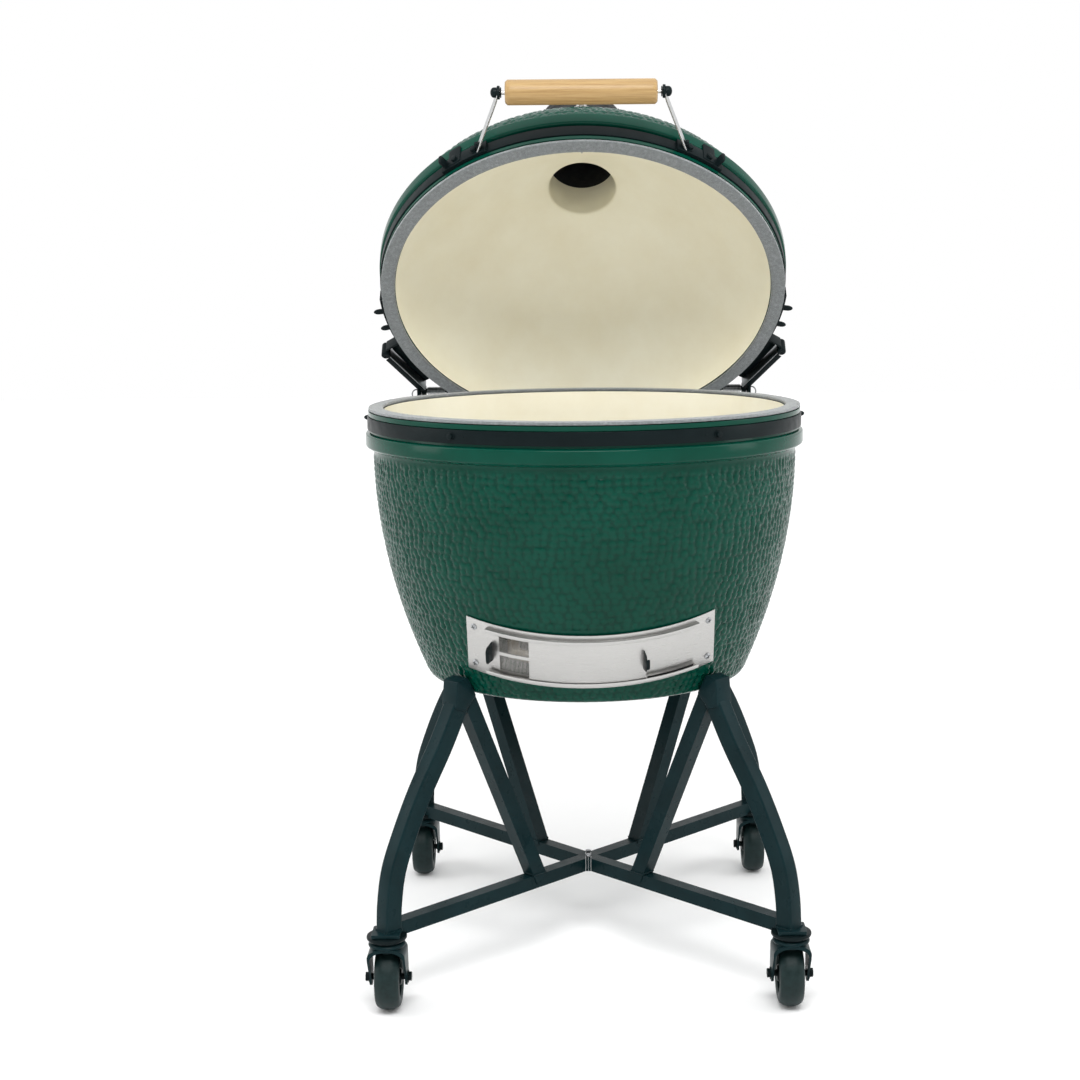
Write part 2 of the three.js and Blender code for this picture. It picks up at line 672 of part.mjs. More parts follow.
function handleRod() {
  const at = (x) => [x, GRIP.y, GRIP.z];
  const shaft = rod("x", 4, 2 * HANDLE_ARM_X + 18, at(0), 12);
  const nuts = [-1, 1].map((s) => rod("x", 8, 6, at(s * (HANDLE_ARM_X + 9)), 12));
  return node("handle_rod", join(shaft, ...nuts), BLACK_STEEL);
}

// ---------- chimney vent ----------

const VENT_BASE_TOP = 440;
const VENT_PIVOT_X = 72;

function petals(from, to, count, start) {
  const holes = [];
  for (let i = 0; i < count; i++) {
    const a = start + (2 * Math.PI * i) / count;
    const r = (from + to) / 2;
    holes.push(rod("z", (to - from) / 2, 100, [r * Math.cos(a), r * Math.sin(a), VENT_BASE_TOP], 8));
  }
  return holes;
}

function ventBase() {
  const collar = turned([
    [DOME_TOP_R - 4.5, DOME_TOP + 4], [DOME_TOP_R + 3, DOME_TOP + 4], [DOME_TOP_R + 3, VENT_BASE_TOP],
    [CHIMNEY_R + 1, VENT_BASE_TOP], [CHIMNEY_R + 1, CHIMNEY_TOP + GAP], [DOME_TOP_R - 4.5, CHIMNEY_TOP + GAP],
  ], 24);
  const pin = rod("z", 4, 14, [VENT_PIVOT_X, 0, VENT_BASE_TOP + 6], 12);
  return node("vent_base", join(collar, pin), CAST_IRON);
}

function ventCap() {
  const z = VENT_BASE_TOP + 0.5;
  const crown = turned([[0, z], [80, z], [80, z + 9], [66, z + 17], [0, z + 17]], 24);
  const under = turned([[0, z - 1], [58, z - 1], [50, z + 10], [0, z + 10]], 20);
  const bore = rod("z", 4.4, 60, [VENT_PIVOT_X, 0, z], 12);
  const hub = rod("z", 5, 8, [0, 0, z + 20], 12);
  return node("vent_cap", join(cut(crown, under, bore, ...petals(20, 40, 5, 0)), hub), CAST_IRON);
}

function ventDamper() {
  const z = VENT_BASE_TOP + 18;
  const disc = rod("z", 50, 5, [0, 0, z + 2.5], 24);
  const knob = rod("z", 5, 18, [45, 0, z + 10], 10);
  const bore = rod("z", 5.4, 60, [0, 0, z], 12);
  return node("vent_damper", cut(join(disc, knob), bore, ...petals(21, 39, 5, Math.PI / 5)), CAST_IRON);
}

// ---------- assembly ----------

function placedAt(z, mesh) {
  mesh.position.z = z;
  return mesh;
}

function standNodes() {
  const corners = [["front_left", -1, -1], ["front_right", 1, -1], ["rear_left", -1, 1], ["rear_right", 1, 1]];
  const nodes = [];
  const uprights = {};
  for (const [corner, sx, sy] of corners) {
    const legMesh = leg(`leg_${corner}`, sx, sy);
    const railMesh = rail(`rail_${corner}`, sx, sy, legMesh);
    const strutMesh = strut(`strut_${corner}`, sx, sy, legMesh, railMesh);
    uprights[corner] = [legMesh, strutMesh];
    nodes.push(legMesh, railMesh, strutMesh);
    const at = [sx * FOOT, sy * FOOT];
    nodes.push(casterStem(`caster_stem_${corner}`, ...at));
    nodes.push(casterFork(`caster_fork_${corner}`, ...at));
    nodes.push(casterWheel(`caster_wheel_${corner}`, ...at));
    if (sy < 0) nodes.push(brakePedal(`brake_pedal_${corner}`, ...at));
  }
  for (const [sideName, sx] of [["left", -1], ["right", 1]]) {
    nodes.push(hubPlate(`hub_plate_${sideName}`, sx));
    const neighbours = [...uprights[`front_${sideName}`], ...uprights[`rear_${sideName}`]];
    nodes.push(cradleBar(`cradle_bar_${sideName}`, sx, neighbours));
  }
  return nodes;
}

function bowlNodes() {
  return [
    bowl(),
    placedAt(RIM_Z, gasket("base_gasket", -1)),
    placedAt(RIM_Z, clampBand("lower_band", -1)),
    firebox(),
    fireGrate(),
    fireRing(),
    cookingGrid(),
    draftFrame(),
    draftDoor(),
    ...draftScreen(),
    ...pair("hinge_base_bracket", hingeBaseBracket(), BLACK_STEEL),
    ...pair("hinge_arm", hingeArm(), BLACK_STEEL),
    ...pair("hinge_spring", hingeSpring(), SPRING_STEEL),
  ];
}

function lidNodes() {
  return [
    lidDome(),
    gasket("lid_gasket", 1),
    clampBand("upper_band", 1),
    thermometer(),
    handleGrip(),
    handleRod(),
    ventBase(),
    ventCap(),
    ventDamper(),
    ...pair("lid_bracket", lidBracket(), BLACK_STEEL),
    ...pair("handle_bracket", handleBracket(), BLACK_STEEL),
  ];
}

const lid = new THREE.Group();
lid.rotation.x = -deg(LID_OPEN_DEG);
lid.position.set(...LID_OPEN_AT);
lid.add(...lidNodes());

const grill = new THREE.Group();
grill.position.y = CENTRE_SHIFT_Y;
grill.add(...standNodes(), ...bowlNodes(), lid);

const root = new THREE.Group();
root.add(grill);

export default root;
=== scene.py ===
"""A ceramic kamado grill with its lid open, on a wheeled stand: the finished look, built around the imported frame."""
import json
import math
import random

import bmesh
import bpy
import numpy as np
from mathutils import Matrix, Vector
from mathutils.kdtree import KDTree


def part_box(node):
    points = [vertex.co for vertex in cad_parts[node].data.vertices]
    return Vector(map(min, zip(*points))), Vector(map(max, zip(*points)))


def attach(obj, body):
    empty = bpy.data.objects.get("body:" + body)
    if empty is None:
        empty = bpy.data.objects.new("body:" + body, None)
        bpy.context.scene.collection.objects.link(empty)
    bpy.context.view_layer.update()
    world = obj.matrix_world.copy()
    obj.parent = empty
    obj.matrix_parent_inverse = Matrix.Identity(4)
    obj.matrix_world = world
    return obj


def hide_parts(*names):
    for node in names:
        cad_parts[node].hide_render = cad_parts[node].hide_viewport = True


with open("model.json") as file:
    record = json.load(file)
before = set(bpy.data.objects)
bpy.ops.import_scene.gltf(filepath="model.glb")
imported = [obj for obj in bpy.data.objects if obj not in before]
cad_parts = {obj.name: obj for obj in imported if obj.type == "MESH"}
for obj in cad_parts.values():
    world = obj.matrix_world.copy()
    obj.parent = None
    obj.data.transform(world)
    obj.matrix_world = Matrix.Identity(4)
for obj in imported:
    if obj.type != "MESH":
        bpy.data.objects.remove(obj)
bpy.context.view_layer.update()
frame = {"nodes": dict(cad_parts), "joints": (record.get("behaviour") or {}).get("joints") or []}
random.seed(7)
rng = np.random.default_rng(7)

# ---------- driving dimensions, in metres, from the frame ----------

MM = 0.001
NODES = frame["nodes"]
JOINTS = {j["name"]: j for j in frame["joints"]}


def middle(node):
    lo, hi = (Vector(c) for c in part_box(node))
    return (lo + hi) / 2


def top_of(node):
    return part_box(node)[1][2]


AXIS_Y = middle("base_bowl").y
RIM_Z = top_of("base_gasket")
LID_AXIS = Vector(JOINTS["vent_cap_swing"]["axis"])
LID_TILT = math.atan2(LID_AXIS.y, LID_AXIS.z)
UPPER_PIVOT = Vector(JOINTS["lid_tilt"]["pos_m"])
LOWER_PIVOT = Vector(JOINTS["lid_lift"]["pos_m"])
PIVOT_IN_LID = Vector((0, 260 * MM, 20 * MM))
LID_TURN = Matrix.Rotation(-LID_TILT, 4, "X")
LID = Matrix.Translation(UPPER_PIVOT - LID_TURN @ PIVOT_IN_LID) @ LID_TURN
BOWL = Matrix.Translation((0, AXIS_Y, RIM_Z))
GROUND = Matrix.Translation((0, AXIS_Y, 0))
DRAFT_AXIS = Vector(JOINTS["draft_door_slide"]["axis"])
DRAFT_TILT = math.atan2(-DRAFT_AXIS.y, DRAFT_AXIS.z)
DRAFT_TURN = math.radians(1.7)
DRAFT = (Matrix.Translation(JOINTS["draft_door_slide"]["pos_m"]) @ Matrix.Rotation(DRAFT_TILT, 4, "X")
         @ Matrix.Rotation(DRAFT_TURN, 4, "Z"))

# ceramic sections, in millimetres about the bowl's or the lid's own axis, from the rim plane
RIM_R = 350
GASKET_INNER_R = 326
GASKET_T = 5
LIP_H = 14
BAND_H = 21
BAND_T = 4
SEAT_R = 347.5
RIDGE_R = 354.5
RIDGE_FROM = 41
RIDGE_TO = 61
SIDE_FROM = 69
SIDE_R = 343
BOWL_DEPTH = 446
BOWL_SIDE_DEPTH = 417
BOWL_SIDE_R = 268.5
DOME_TOP = 298
DOME_TOP_R = 78
DOME_SHAPE = 1.6
CHIMNEY_R = 61
CHIMNEY_TOP = 348
WALL = 26
BUMP_PITCH = 12.6
BUMP_R = 7.3
BUMP_HEIGHT = 2.5
SIDE_STEP = 2.6  # between mesh points down the bumpy side
SIDE_COLUMNS = 760  # mesh points round it

# draft door, in its own frame
DRAFT_R = 310
DRAFT_HALF = math.radians(37.6)
DRAFT_H = 95
DRAFT_RAIL = (-30.5, 31)  # degrees
DRAFT_WINDOW = (math.radians(-27.5), math.radians(1.5))
DRAFT_WINDOW_H = 64
SLIDER_HALF = 39.2  # half the height of the sliding sheets


# ---------- materials ----------

class Nodes:
    """A small helper to write node trees."""

    def __init__(self, name):
        self.material = bpy.data.materials.new(name)
        self.material.use_nodes = True
        self.tree = self.material.node_tree
        self.shader = self.tree.nodes["Principled BSDF"]

    def add(self, kind, inputs=None, **settings):
        node = self.tree.nodes.new("ShaderNode" + kind)
        for key, value in settings.items():
            setattr(node, key, value)
        for key, value in (inputs or {}).items():
            self.feed(node.inputs[key], value)
        return node

    def feed(self, socket, value):
        if isinstance(value, bpy.types.NodeSocket):
            self.tree.links.new(value, socket)
        else:
            socket.default_value = value

    def set(self, **values):
        for key, value in values.items():
            self.feed(self.shader.inputs[key.replace("_", " ")], value)

    def coords(self, scale=(1, 1, 1)):
        place = self.add("TexCoord").outputs["Object"]
        return self.add("Mapping", {"Vector": place, "Scale": scale}).outputs["Vector"]

    def noise(self, size_mm, detail=4.0, rough=0.55, stretch=(1, 1, 1)):
        """Noise whose features are about size_mm across."""
        vector = self.coords(stretch)
        inputs = {"Vector": vector, "Scale": 1000.0 / size_mm, "Detail": detail, "Roughness": rough}
        return self.add("TexNoise", inputs).outputs["Fac"]

    def ramp(self, fac, stops):
        node = self.add("ValToRGB", {"Fac": fac})
        while len(node.color_ramp.elements) < len(stops):
            node.color_ramp.elements.new(0.5)
        for element, (position, color) in zip(node.color_ramp.elements, stops):
            element.position = position
            element.color = (*color, 1)
        return node.outputs["Color"]

    def spread(self, fac, low, high):
        """A number that runs from low to high as fac runs over the middle of a noise."""
        inputs = {"Value": fac, "From Min": 0.3, "From Max": 0.7, "To Min": low, "To Max": high}
        return self.add("MapRange", inputs).outputs["Result"]

    def far(self, near_m, far_m, amount):
        """Nothing within near_m of the origin, rising to amount at far_m."""
        place = self.add("TexCoord").outputs["Object"]
        length = self.add("VectorMath", {0: place}, operation="LENGTH").outputs["Value"]
        inputs = {"Value": length, "From Min": near_m, "From Max": far_m, "To Min": 0.0, "To Max": amount}
        return self.add("MapRange", inputs).outputs["Result"]

    def blend(self, fac, a, b):
        node = self.add("Mix", data_type="RGBA")
        self.feed(node.inputs[0], fac)
        self.feed(node.inputs[6], a)
        self.feed(node.inputs[7], b)
        return node.outputs[2]

    def bump(self, *layers):
        """Layers of (height, depth in mm)."""
        normal = None
        for height, depth in layers:
            inputs = {"Height": height, "Distance": depth * MM, "Strength": 1.0}
            node = self.add("Bump", inputs)
            if normal is not None:
                self.feed(node.inputs["Normal"], normal)
            normal = node.outputs["Normal"]
        self.set(Normal=normal)


def green_glaze():
    m = Nodes("green_glaze")
    pit = m.add("Attribute", attribute_name="pit").outputs["Fac"]
    body = m.ramp(m.noise(90, 5), [(0.3, (0.0006, 0.037, 0.023)), (0.7, (0.0012, 0.048, 0.031))])
    # The glaze darkens towards the valleys between the bumps: partly glaze pooling, partly painted shade.
    deep = m.blend(m.spread(pit, 0.0, 0.45), body, (0.0, 0.020, 0.013, 1))
    m.set(Base_Color=deep, Roughness=m.spread(m.noise(7, 3), 0.13, 0.2))
    m.set(Specular_IOR_Level=0.12)
    m.bump((m.noise(5, 3), 0.05), (m.noise(0.9, 2), 0.01))
    return m.material


def cream_ceramic(name="cream_ceramic", light=(0.90, 0.87, 0.72), dark=(0.84, 0.79, 0.615)):
    m = Nodes(name)
    cloud = m.noise(130, 6, 0.6)
    speck = m.noise(1.6, 2, 0.6)
    base = m.ramp(cloud, [(0.3, dark), (0.7, light)])
    speckled = m.blend(m.ramp(speck, [(0.70, (0, 0, 0)), (0.78, (0.35, 0.35, 0.35))]), base, (0.5, 0.40, 0.27, 1))
    m.set(Base_Color=speckled, Roughness=m.spread(m.noise(30, 4), 0.42, 0.6))
    m.bump((m.noise(14, 4), 0.12), (m.noise(1.1, 3), 0.03))
    return m.material


def grey_felt():
    m = Nodes("grey_felt")
    mottle = m.noise(5.5, 6, 0.75)
    fibre = m.noise(1.3, 4, 0.8, (1, 1, 2.4))
    base = m.ramp(mottle, [(0.32, (0.050, 0.058, 0.062)), (0.52, (0.13, 0.145, 0.15)), (0.70, (0.29, 0.31, 0.31))])
    fine = m.ramp(fibre, [(0.35, (0.06, 0.07, 0.075)), (0.65, (0.29, 0.31, 0.31))])
    m.set(Base_Color=m.blend(0.5, base, fine), Roughness=1.0, Specular_IOR_Level=0.15)
    m.set(Sheen_Weight=0.4, Sheen_Roughness=0.6)
    m.bump((fibre, 0.5), (mottle, 0.6))
    return m.material


def painted(name, color, roughness, grain_mm=1.1):
    """Powder coat: an orange-peel skin with slightly uneven gloss."""
    m = Nodes(name)
    shade = tuple(c * 0.7 for c in color)
    m.set(Base_Color=m.ramp(m.noise(60, 5), [(0.3, shade), (0.7, color)]))
    m.set(Roughness=m.spread(m.noise(18, 4), roughness - 0.05, roughness + 0.08))
    m.set(Specular_IOR_Level=0.07)
    m.bump((m.noise(grain_mm, 3), 0.035))
    return m.material


def brushed(name, color, roughness, stretch, streak_mm=0.45):
    """Steel brushed one way: the noise is squeezed along the brushing direction."""
    m = Nodes(name)
    streak = m.noise(streak_mm, 3, 0.6, stretch)
    cloud = m.noise(55, 4)
    light = tuple(min(1.0, c * 1.05) for c in color)
    dark = tuple(c * 0.86 for c in color)
    m.set(Base_Color=m.blend(m.spread(cloud, 0.2, 0.8), m.ramp(streak, [(0.3, dark), (0.7, light)]), (*color, 1)))
    m.set(Metallic=1.0, Roughness=m.spread(streak, roughness - 0.06, roughness + 0.1))
    m.bump((streak, 0.006))
    return m.material


def light_wood():
    m = Nodes("light_wood")
    flow = m.noise(34, 4, 0.6, (0.12, 1, 1))
    grain = m.noise(2.6, 6, 0.7, (0.035, 1, 1))
    pores = m.noise(0.8, 3, 0.7, (0.06, 1, 1))
    tone = m.ramp(flow, [(0.25, (0.29, 0.175, 0.060)), (0.5, (0.36, 0.23, 0.088)), (0.75, (0.43, 0.30, 0.13))])
    lines = m.ramp(grain, [(0.34, (0.17, 0.09, 0.03)), (0.52, (0.36, 0.235, 0.095)), (0.72, (0.45, 0.32, 0.15))])
    wood = m.blend(0.5, tone, lines)
    dark = m.ramp(pores, [(0.30, (0.55, 0.55, 0.55)), (0.40, (0, 0, 0))])
    m.set(Base_Color=m.blend(dark, wood, (0.34, 0.17, 0.06, 1)), Roughness=m.spread(grain, 0.35, 0.5))
    m.set(Coat_Weight=0.12, Coat_Roughness=0.25, Specular_IOR_Level=0.35)
    m.bump((grain, 0.08), (pores, 0.04))
    return m.material


def cast_iron():
    m = Nodes("cast_iron")
    m.set(Base_Color=m.ramp(m.noise(12, 5), [(0.3, (0.012, 0.013, 0.014)), (0.7, (0.030, 0.031, 0.032))]))
    m.set(Metallic=0.35, Roughness=m.spread(m.noise(3, 4), 0.5, 0.72))
    m.bump((m.noise(1.6, 4, 0.7), 0.16), (m.noise(0.5, 2), 0.04))
    return m.material


def caster_rubber():
    m = Nodes("caster_rubber")
    wear = m.noise(9, 5, 0.65)
    m.set(Base_Color=m.ramp(wear, [(0.35, (0.004, 0.013, 0.013)), (0.75, (0.010, 0.024, 0.024))]))
    m.set(Roughness=m.spread(wear, 0.38, 0.6), Specular_IOR_Level=0.2)
    m.bump((m.noise(1.5, 4), 0.06))
    return m.material


def dial_white():
    m = Nodes("dial_white")
    m.set(Base_Color=m.ramp(m.noise(8, 3), [(0.3, (0.78, 0.78, 0.76)), (0.7, (0.84, 0.84, 0.82))]), Roughness=0.5)
    return m.material


def clear_glass():
    m = Nodes("clear_glass")
    m.set(Base_Color=(1, 1, 1, 1), Roughness=0.03, Transmission_Weight=1.0, IOR=1.45)
    return m.material


# Near-black for painted shade: the shadow in the draft door's slot and in the screw heads' slots.
def painted_shade_black():
    m = Nodes("painted_shade_black")
    m.set(Base_Color=m.ramp(m.noise(10, 4), [(0.3, (0.004, 0.004, 0.004)), (0.7, (0.010, 0.010, 0.010))]))
    m.set(Roughness=0.9)
    m.bump((m.noise(2, 4), 0.2))
    return m.material


GLAZE = green_glaze()
CREAM = cream_ceramic()
FIRECLAY = cream_ceramic("fireclay", (0.62, 0.55, 0.43), (0.50, 0.43, 0.32))
FELT = grey_felt()
BLACK = painted("black_steel", (0.005, 0.010, 0.011), 0.34)
STAND = painted("stand_paint", (0.005, 0.019, 0.022), 0.3)
STAINLESS = brushed("stainless", (0.43, 0.425, 0.415), 0.30, (0.02, 0.02, 1))
ROD_STEEL = brushed("rod_steel", (0.60, 0.59, 0.57), 0.26, (1, 0.05, 1))
SPRING = brushed("spring_steel", (0.30, 0.31, 0.315), 0.33, (1, 1, 1), 1.2)
ZINC = brushed("zinc_bolt", (0.34, 0.35, 0.36), 0.34, (1, 1, 1), 0.8)
ARM_STEEL = brushed("arm_steel", (0.52, 0.53, 0.53), 0.32, (1, 0.05, 0.05))
WOOD = light_wood()
IRON = cast_iron()
RUBBER = caster_rubber()
WHITE = dial_white()
GLASS = clear_glass()
PAINTED_SHADE = painted_shade_black()


# ---------- mesh helpers: everything is made in millimetres in a local frame, then placed ----------

IDENTITY = Matrix.Identity(4)
TO_METRES = Matrix.Scale(MM, 4)


def linked(name, data):
    """A new object in the scene."""
    made = bpy.data.objects.new(name, data)
    bpy.context.scene.collection.objects.link(made)
    return made


def evaluated(made):
    """A mesh of the object with its modifiers or its curve's bevel applied."""
    bpy.context.view_layer.update()
    return bpy.data.meshes.new_from_object(made.evaluated_get(bpy.context.evaluated_depsgraph_get()))


def put(name, mesh, place, body, materials, replaces=None, smooth=40):
    """Makes a piece of a mesh in millimetres, or of several meshes, standing for at most one CAD node."""
    if isinstance(mesh, list):
        mesh = merge(*mesh)
    mesh.name = name
    mesh.transform(place @ TO_METRES)
    mesh.update()
    for material in materials if isinstance(materials, tuple) else (materials,):
        mesh.materials.append(material)
    mesh.shade_smooth()
    if smooth:
        mesh.set_sharp_from_angle(angle=math.radians(smooth))
    piece = linked(name, mesh)
    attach(piece, body)
    if replaces:
        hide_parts(replaces)
    return piece


def bevel(piece, width_mm, segments=3, angle=35):
    mod = piece.modifiers.new("soft_edges", "BEVEL")
    mod.width = width_mm * MM
    mod.segments = segments
    mod.limit_method = "ANGLE"
    mod.angle_limit = math.radians(angle)
    mod.harden_normals = False
    return piece


def fillet(points, radius, steps=4):
    """A closed outline of (u, v, optional radius) points with its corners rounded."""
    rounded = []
    count = len(points)
    for i, point in enumerate(points):
        here = Vector(point[:2])
        before = Vector(points[i - 1][:2])
        after = Vector(points[(i + 1) % count][:2])
        r = point[2] if len(point) > 2 else radius
        a, b = (before - here), (after - here)
        if r <= 0 or a.length < 1e-6 or b.length < 1e-6:
            rounded.append(here)
            continue
        reach = min(r, a.length * 0.45, b.length * 0.45)
        start, end = here + a.normalized() * reach, here + b.normalized() * reach
        for k in range(steps + 1):
            t = k / steps
            rounded.append(start.lerp(here, t).lerp(here.lerp(end, t), t))
    return [(p.x, p.y) for p in rounded]


def ring_mesh(outline, segments=192, closed=True, span=None):
    """A closed (radius, height) outline turned about Z, all round or over a span of angles from the front."""
    outline = np.array(outline, float)
    rows = len(outline)
    full = span is None
    start, end = (0, 2 * math.pi) if full else span
    columns = segments if full else segments + 1
    angles = start + (end - start) * np.arange(columns) / segments
    x = outline[:, 0][None, :] * np.sin(angles)[:, None]
    y = -outline[:, 0][None, :] * np.cos(angles)[:, None]
    z = np.repeat(outline[:, 1][None, :], columns, axis=0)
    verts = np.stack([x, y, z], axis=-1).reshape(-1, 3)
    faces = []
    for c in range(segments):
        d = (c + 1) % columns
        for r in range(rows if closed else rows - 1):
            s = (r + 1) % rows
            faces.append((c * rows + r, d * rows + r, d * rows + s, c * rows + s))
    if not full:
        faces.append(tuple(range(rows)))
        faces.append(tuple(range(columns * rows - 1, (columns - 1) * rows - 1, -1)))
    return mesh_of(verts.tolist(), faces)


def mesh_of(verts, faces):
    mesh = bpy.data.meshes.new("mesh")
    mesh.from_pydata(verts, [], faces)
    return tidy(mesh)


def tidy(mesh):
    """Merges doubled points, drops empty faces and turns every face outwards."""
    bm = bmesh.new()
    bm.from_mesh(mesh)
    bmesh.ops.remove_doubles(bm, verts=bm.verts, dist=1e-4)
    bmesh.ops.dissolve_degenerate(bm, edges=bm.edges, dist=1e-5)
    bmesh.ops.recalc_face_normals(bm, faces=bm.faces)
    bm.to_mesh(mesh)
    bm.free()
    return mesh


def merge(*meshes):
    bm = bmesh.new()
    for mesh in meshes:
        bm.from_mesh(mesh)
        bpy.data.meshes.remove(mesh)
    mesh = bpy.data.meshes.new("mesh")
    bm.to_mesh(mesh)
    bm.free()
    return mesh


def moved(mesh, matrix):
    mesh.transform(matrix)
    if matrix.determinant() < 0:
        mesh.flip_normals()
    return mesh


def oblong(u0, v0, u1, v1):
    return [(u0, v0), (u1, v0), (u1, v1), (u0, v1)]


def around(radius, angle, z=0):
    """A point at an angle from the front."""
    return (radius * math.sin(angle), -radius * math.cos(angle), z)


def shift(x, y, z):
    return Matrix.Translation((x, y, z))


def turn(axis, degrees):
    return Matrix.Rotation(math.radians(degrees), 4, axis)


def cylinder(axis, radius, length, at=(0, 0, 0), round_mm=0.6, segments=32, bore=0):
    """A cylinder with softened rims, centred on `at`."""
    h = length / 2
    outline = fillet([(bore, -h, 0), (radius, -h), (radius, h), (bore, h, 0)], round_mm, 3)
    mesh = ring_mesh(outline, segments)
    about = {"x": turn("Y", 90), "y": turn("X", -90), "z": IDENTITY}[axis]
    return moved(mesh, shift(*at) @ about)


def prism(outline, depth, basis=IDENTITY, soft=0.8, holes=(), loops=()):
    """An outline in the local XY plane given depth along Z, with softened edges. Holes are (x, y, radius)."""
    curve = bpy.data.curves.new("prism", "CURVE")
    curve.dimensions = "2D"
    curve.fill_mode = "BOTH"
    curve.extrude = depth / 2 - soft
    curve.bevel_depth = soft
    curve.bevel_resolution = 2
    curve.offset = -soft
    loops = [outline, *loops]
    for hx, hy, radius in holes:
        loops.append([(hx + u, hy + v) for u, v in circle(radius, 24)])
    for loop in loops:
        spline = curve.splines.new("POLY")
        spline.points.add(len(loop) - 1)
        for point, (u, v) in zip(spline.points, loop):
            point.co = (u, v, 0, 1)
        spline.use_cyclic_u = True
    holder = linked("prism", curve)
    mesh = evaluated(holder)
    bpy.data.objects.remove(holder)
    bpy.data.curves.remove(curve)
    return moved(tidy(mesh), basis)


def cross_plane(x):
    """Carries a local (u, v) outline to (y, z) at that x."""
    return Matrix(((0, 0, 1, x), (1, 0, 0, 0), (0, 1, 0, 0), (0, 0, 0, 1)))


def sweep(path, section, up=Vector((0, 0, 1)), closed=False):
    """A section of (side, top) points carried along a path."""
    path = [Vector(p) for p in path]
    rows = len(section)
    verts = []
    for i, point in enumerate(path):
        ahead = path[(i + 1) % len(path)] if closed or i + 1 < len(path) else point
        behind = path[i - 1] if closed or i > 0 else point
        along = (ahead - behind).normalized()
        side = up.cross(along).normalized()
        top = along.cross(side)
        verts += [point + side * s + top * t for s, t in section]
    faces = []
    for i in range(len(path) if closed else len(path) - 1):
        j = (i + 1) % len(path)
        for r in range(rows):
            s = (r + 1) % rows
            faces.append((i * rows + r, i * rows + s, j * rows + s, j * rows + r))
    if not closed:
        faces.append(tuple(range(rows)))
        faces.append(tuple(range(len(path) * rows - 1, (len(path) - 1) * rows - 1, -1)))
    return mesh_of([tuple(v) for v in verts], faces)


def circle(radius, count=10):
    return [(radius * math.cos(a), radius * math.sin(a)) for a in np.linspace(0, 2 * math.pi, count + 1)[:-1]]


def rectangle(width, height, radius=2.5, steps=3):
    w, h = width / 2, height / 2
    return fillet(oblong(-w, -h, w, h), radius, steps)


def hex_bolt(across=10, head=5, washer=8.5, washer_t=1.2):
    """A hexagon head on a washer, standing on z = 0 along +Z."""
    hexagon = prism(circle(across / 2 / math.cos(math.pi / 6), 6), head, shift(0, 0, washer_t + head / 2), soft=0.5)
    ring = cylinder("z", washer, washer_t, (0, 0, washer_t / 2), 0.3)
    return merge(ring, hexagon)


def dome_nut(radius=6, height=9):
    outline = [(0, 0), (radius, 0), (radius, height * 0.45)]
    outline += [(radius * math.cos(a), height * 0.45 + height * 0.55 * math.sin(a))
                for a in np.linspace(0.15, math.pi / 2, 8)]
    return ring_mesh([(max(r, 0.0), z) for r, z in outline], 24)


def on_cylinder(radius, azimuth, z, roll=0):
    """A frame on a cylinder's face, Z pointing out, at an angle from the front."""
    a = math.radians(azimuth)
    out = Vector((math.sin(a), -math.cos(a), 0))
    side = Vector((math.cos(a), math.sin(a), 0))
    up = out.cross(side)
    at = out * radius + Vector((0, 0, z))
    basis = Matrix((side, up, out)).transposed().to_4x4()
    return shift(*at) @ basis @ turn("Z", roll)


# ---------- outlines of the ceramics ----------

def rim_outline(down):
    points = [
        (RIM_R, GASKET_T + 0.3, 1.5),
        (RIM_R, LIP_H - 0.4, 1.2),
        (SEAT_R, LIP_H, 0.4),
        (SEAT_R, RIDGE_FROM - 2, 1.0),
        (RIDGE_R, RIDGE_FROM, 2.5),
        (RIDGE_R + 0.4, RIDGE_TO, 2.0),
        (SIDE_R + 2.2, SIDE_FROM - 1.5, 3.0),
    ]
    return [(r, down * h, c) for r, h, c in points]


def parabola(start, end, steps):
    """Points of a curve that leaves `start` upright and bends inwards to `end`."""
    (r0, z0), (r1, z1) = start, end
    return [(r0 + (r1 - r0) * t * t, z0 + (z1 - z0) * t, 0) for t in np.linspace(0, 1, steps)]


def dome_curve(start, end, r0, r1, steps):
    return [(r0 - (r0 - r1) * t ** DOME_SHAPE, start + (end - start) * t, 0)
            for t in np.sin(np.linspace(0, math.pi / 2, steps))]


def resample(points, step):
    """Even steps along a polyline."""
    points = np.array(points, float)
    lengths = np.r_[0, np.cumsum(np.linalg.norm(np.diff(points, axis=0), axis=1))]
    count = max(2, int(round(lengths[-1] / step)) + 1)
    at = np.linspace(0, lengths[-1], count)
    return np.stack([np.interp(at, lengths, points[:, k]) for k in range(2)], axis=-1)


def bowl_side():
    curve = parabola((SIDE_R, -SIDE_FROM), (BOWL_SIDE_R, -BOWL_SIDE_DEPTH), 40)
    corner = fillet([(BOWL_SIDE_R, -BOWL_SIDE_DEPTH, 0), (260, -437, 16), (230, -442, 0)], 0, 8)
    return [p[:2] for p in curve] + corner[1:]


def bowl_inside():
    floor = -BOWL_DEPTH + WALL + 2
    wall = parabola((SIDE_R - 19, -30), (BOWL_SIDE_R - 28, -BOWL_SIDE_DEPTH + 12), 24)
    return [(GASKET_INNER_R - 1, -GASKET_T - 0.3), *(p[:2] for p in wall), (225, floor + 8), (200, floor), (0, floor)]


def dome_side():
    return [p[:2] for p in dome_curve(SIDE_FROM, DOME_TOP, SIDE_R, DOME_TOP_R, 60)]


def dome_inside():
    curve = dome_curve(30, DOME_TOP - 27, GASKET_INNER_R - 2, CHIMNEY_R + 9, 40)
    neck = fillet([(CHIMNEY_R + 9, DOME_TOP - 27, 0), (CHIMNEY_R, DOME_TOP - 20, 4),
                   (CHIMNEY_R, CHIMNEY_TOP, 0)], 0, 5)
    return [(GASKET_INNER_R - 1, GASKET_T + 0.3)] + [p[:2] for p in curve] + neck[1:]


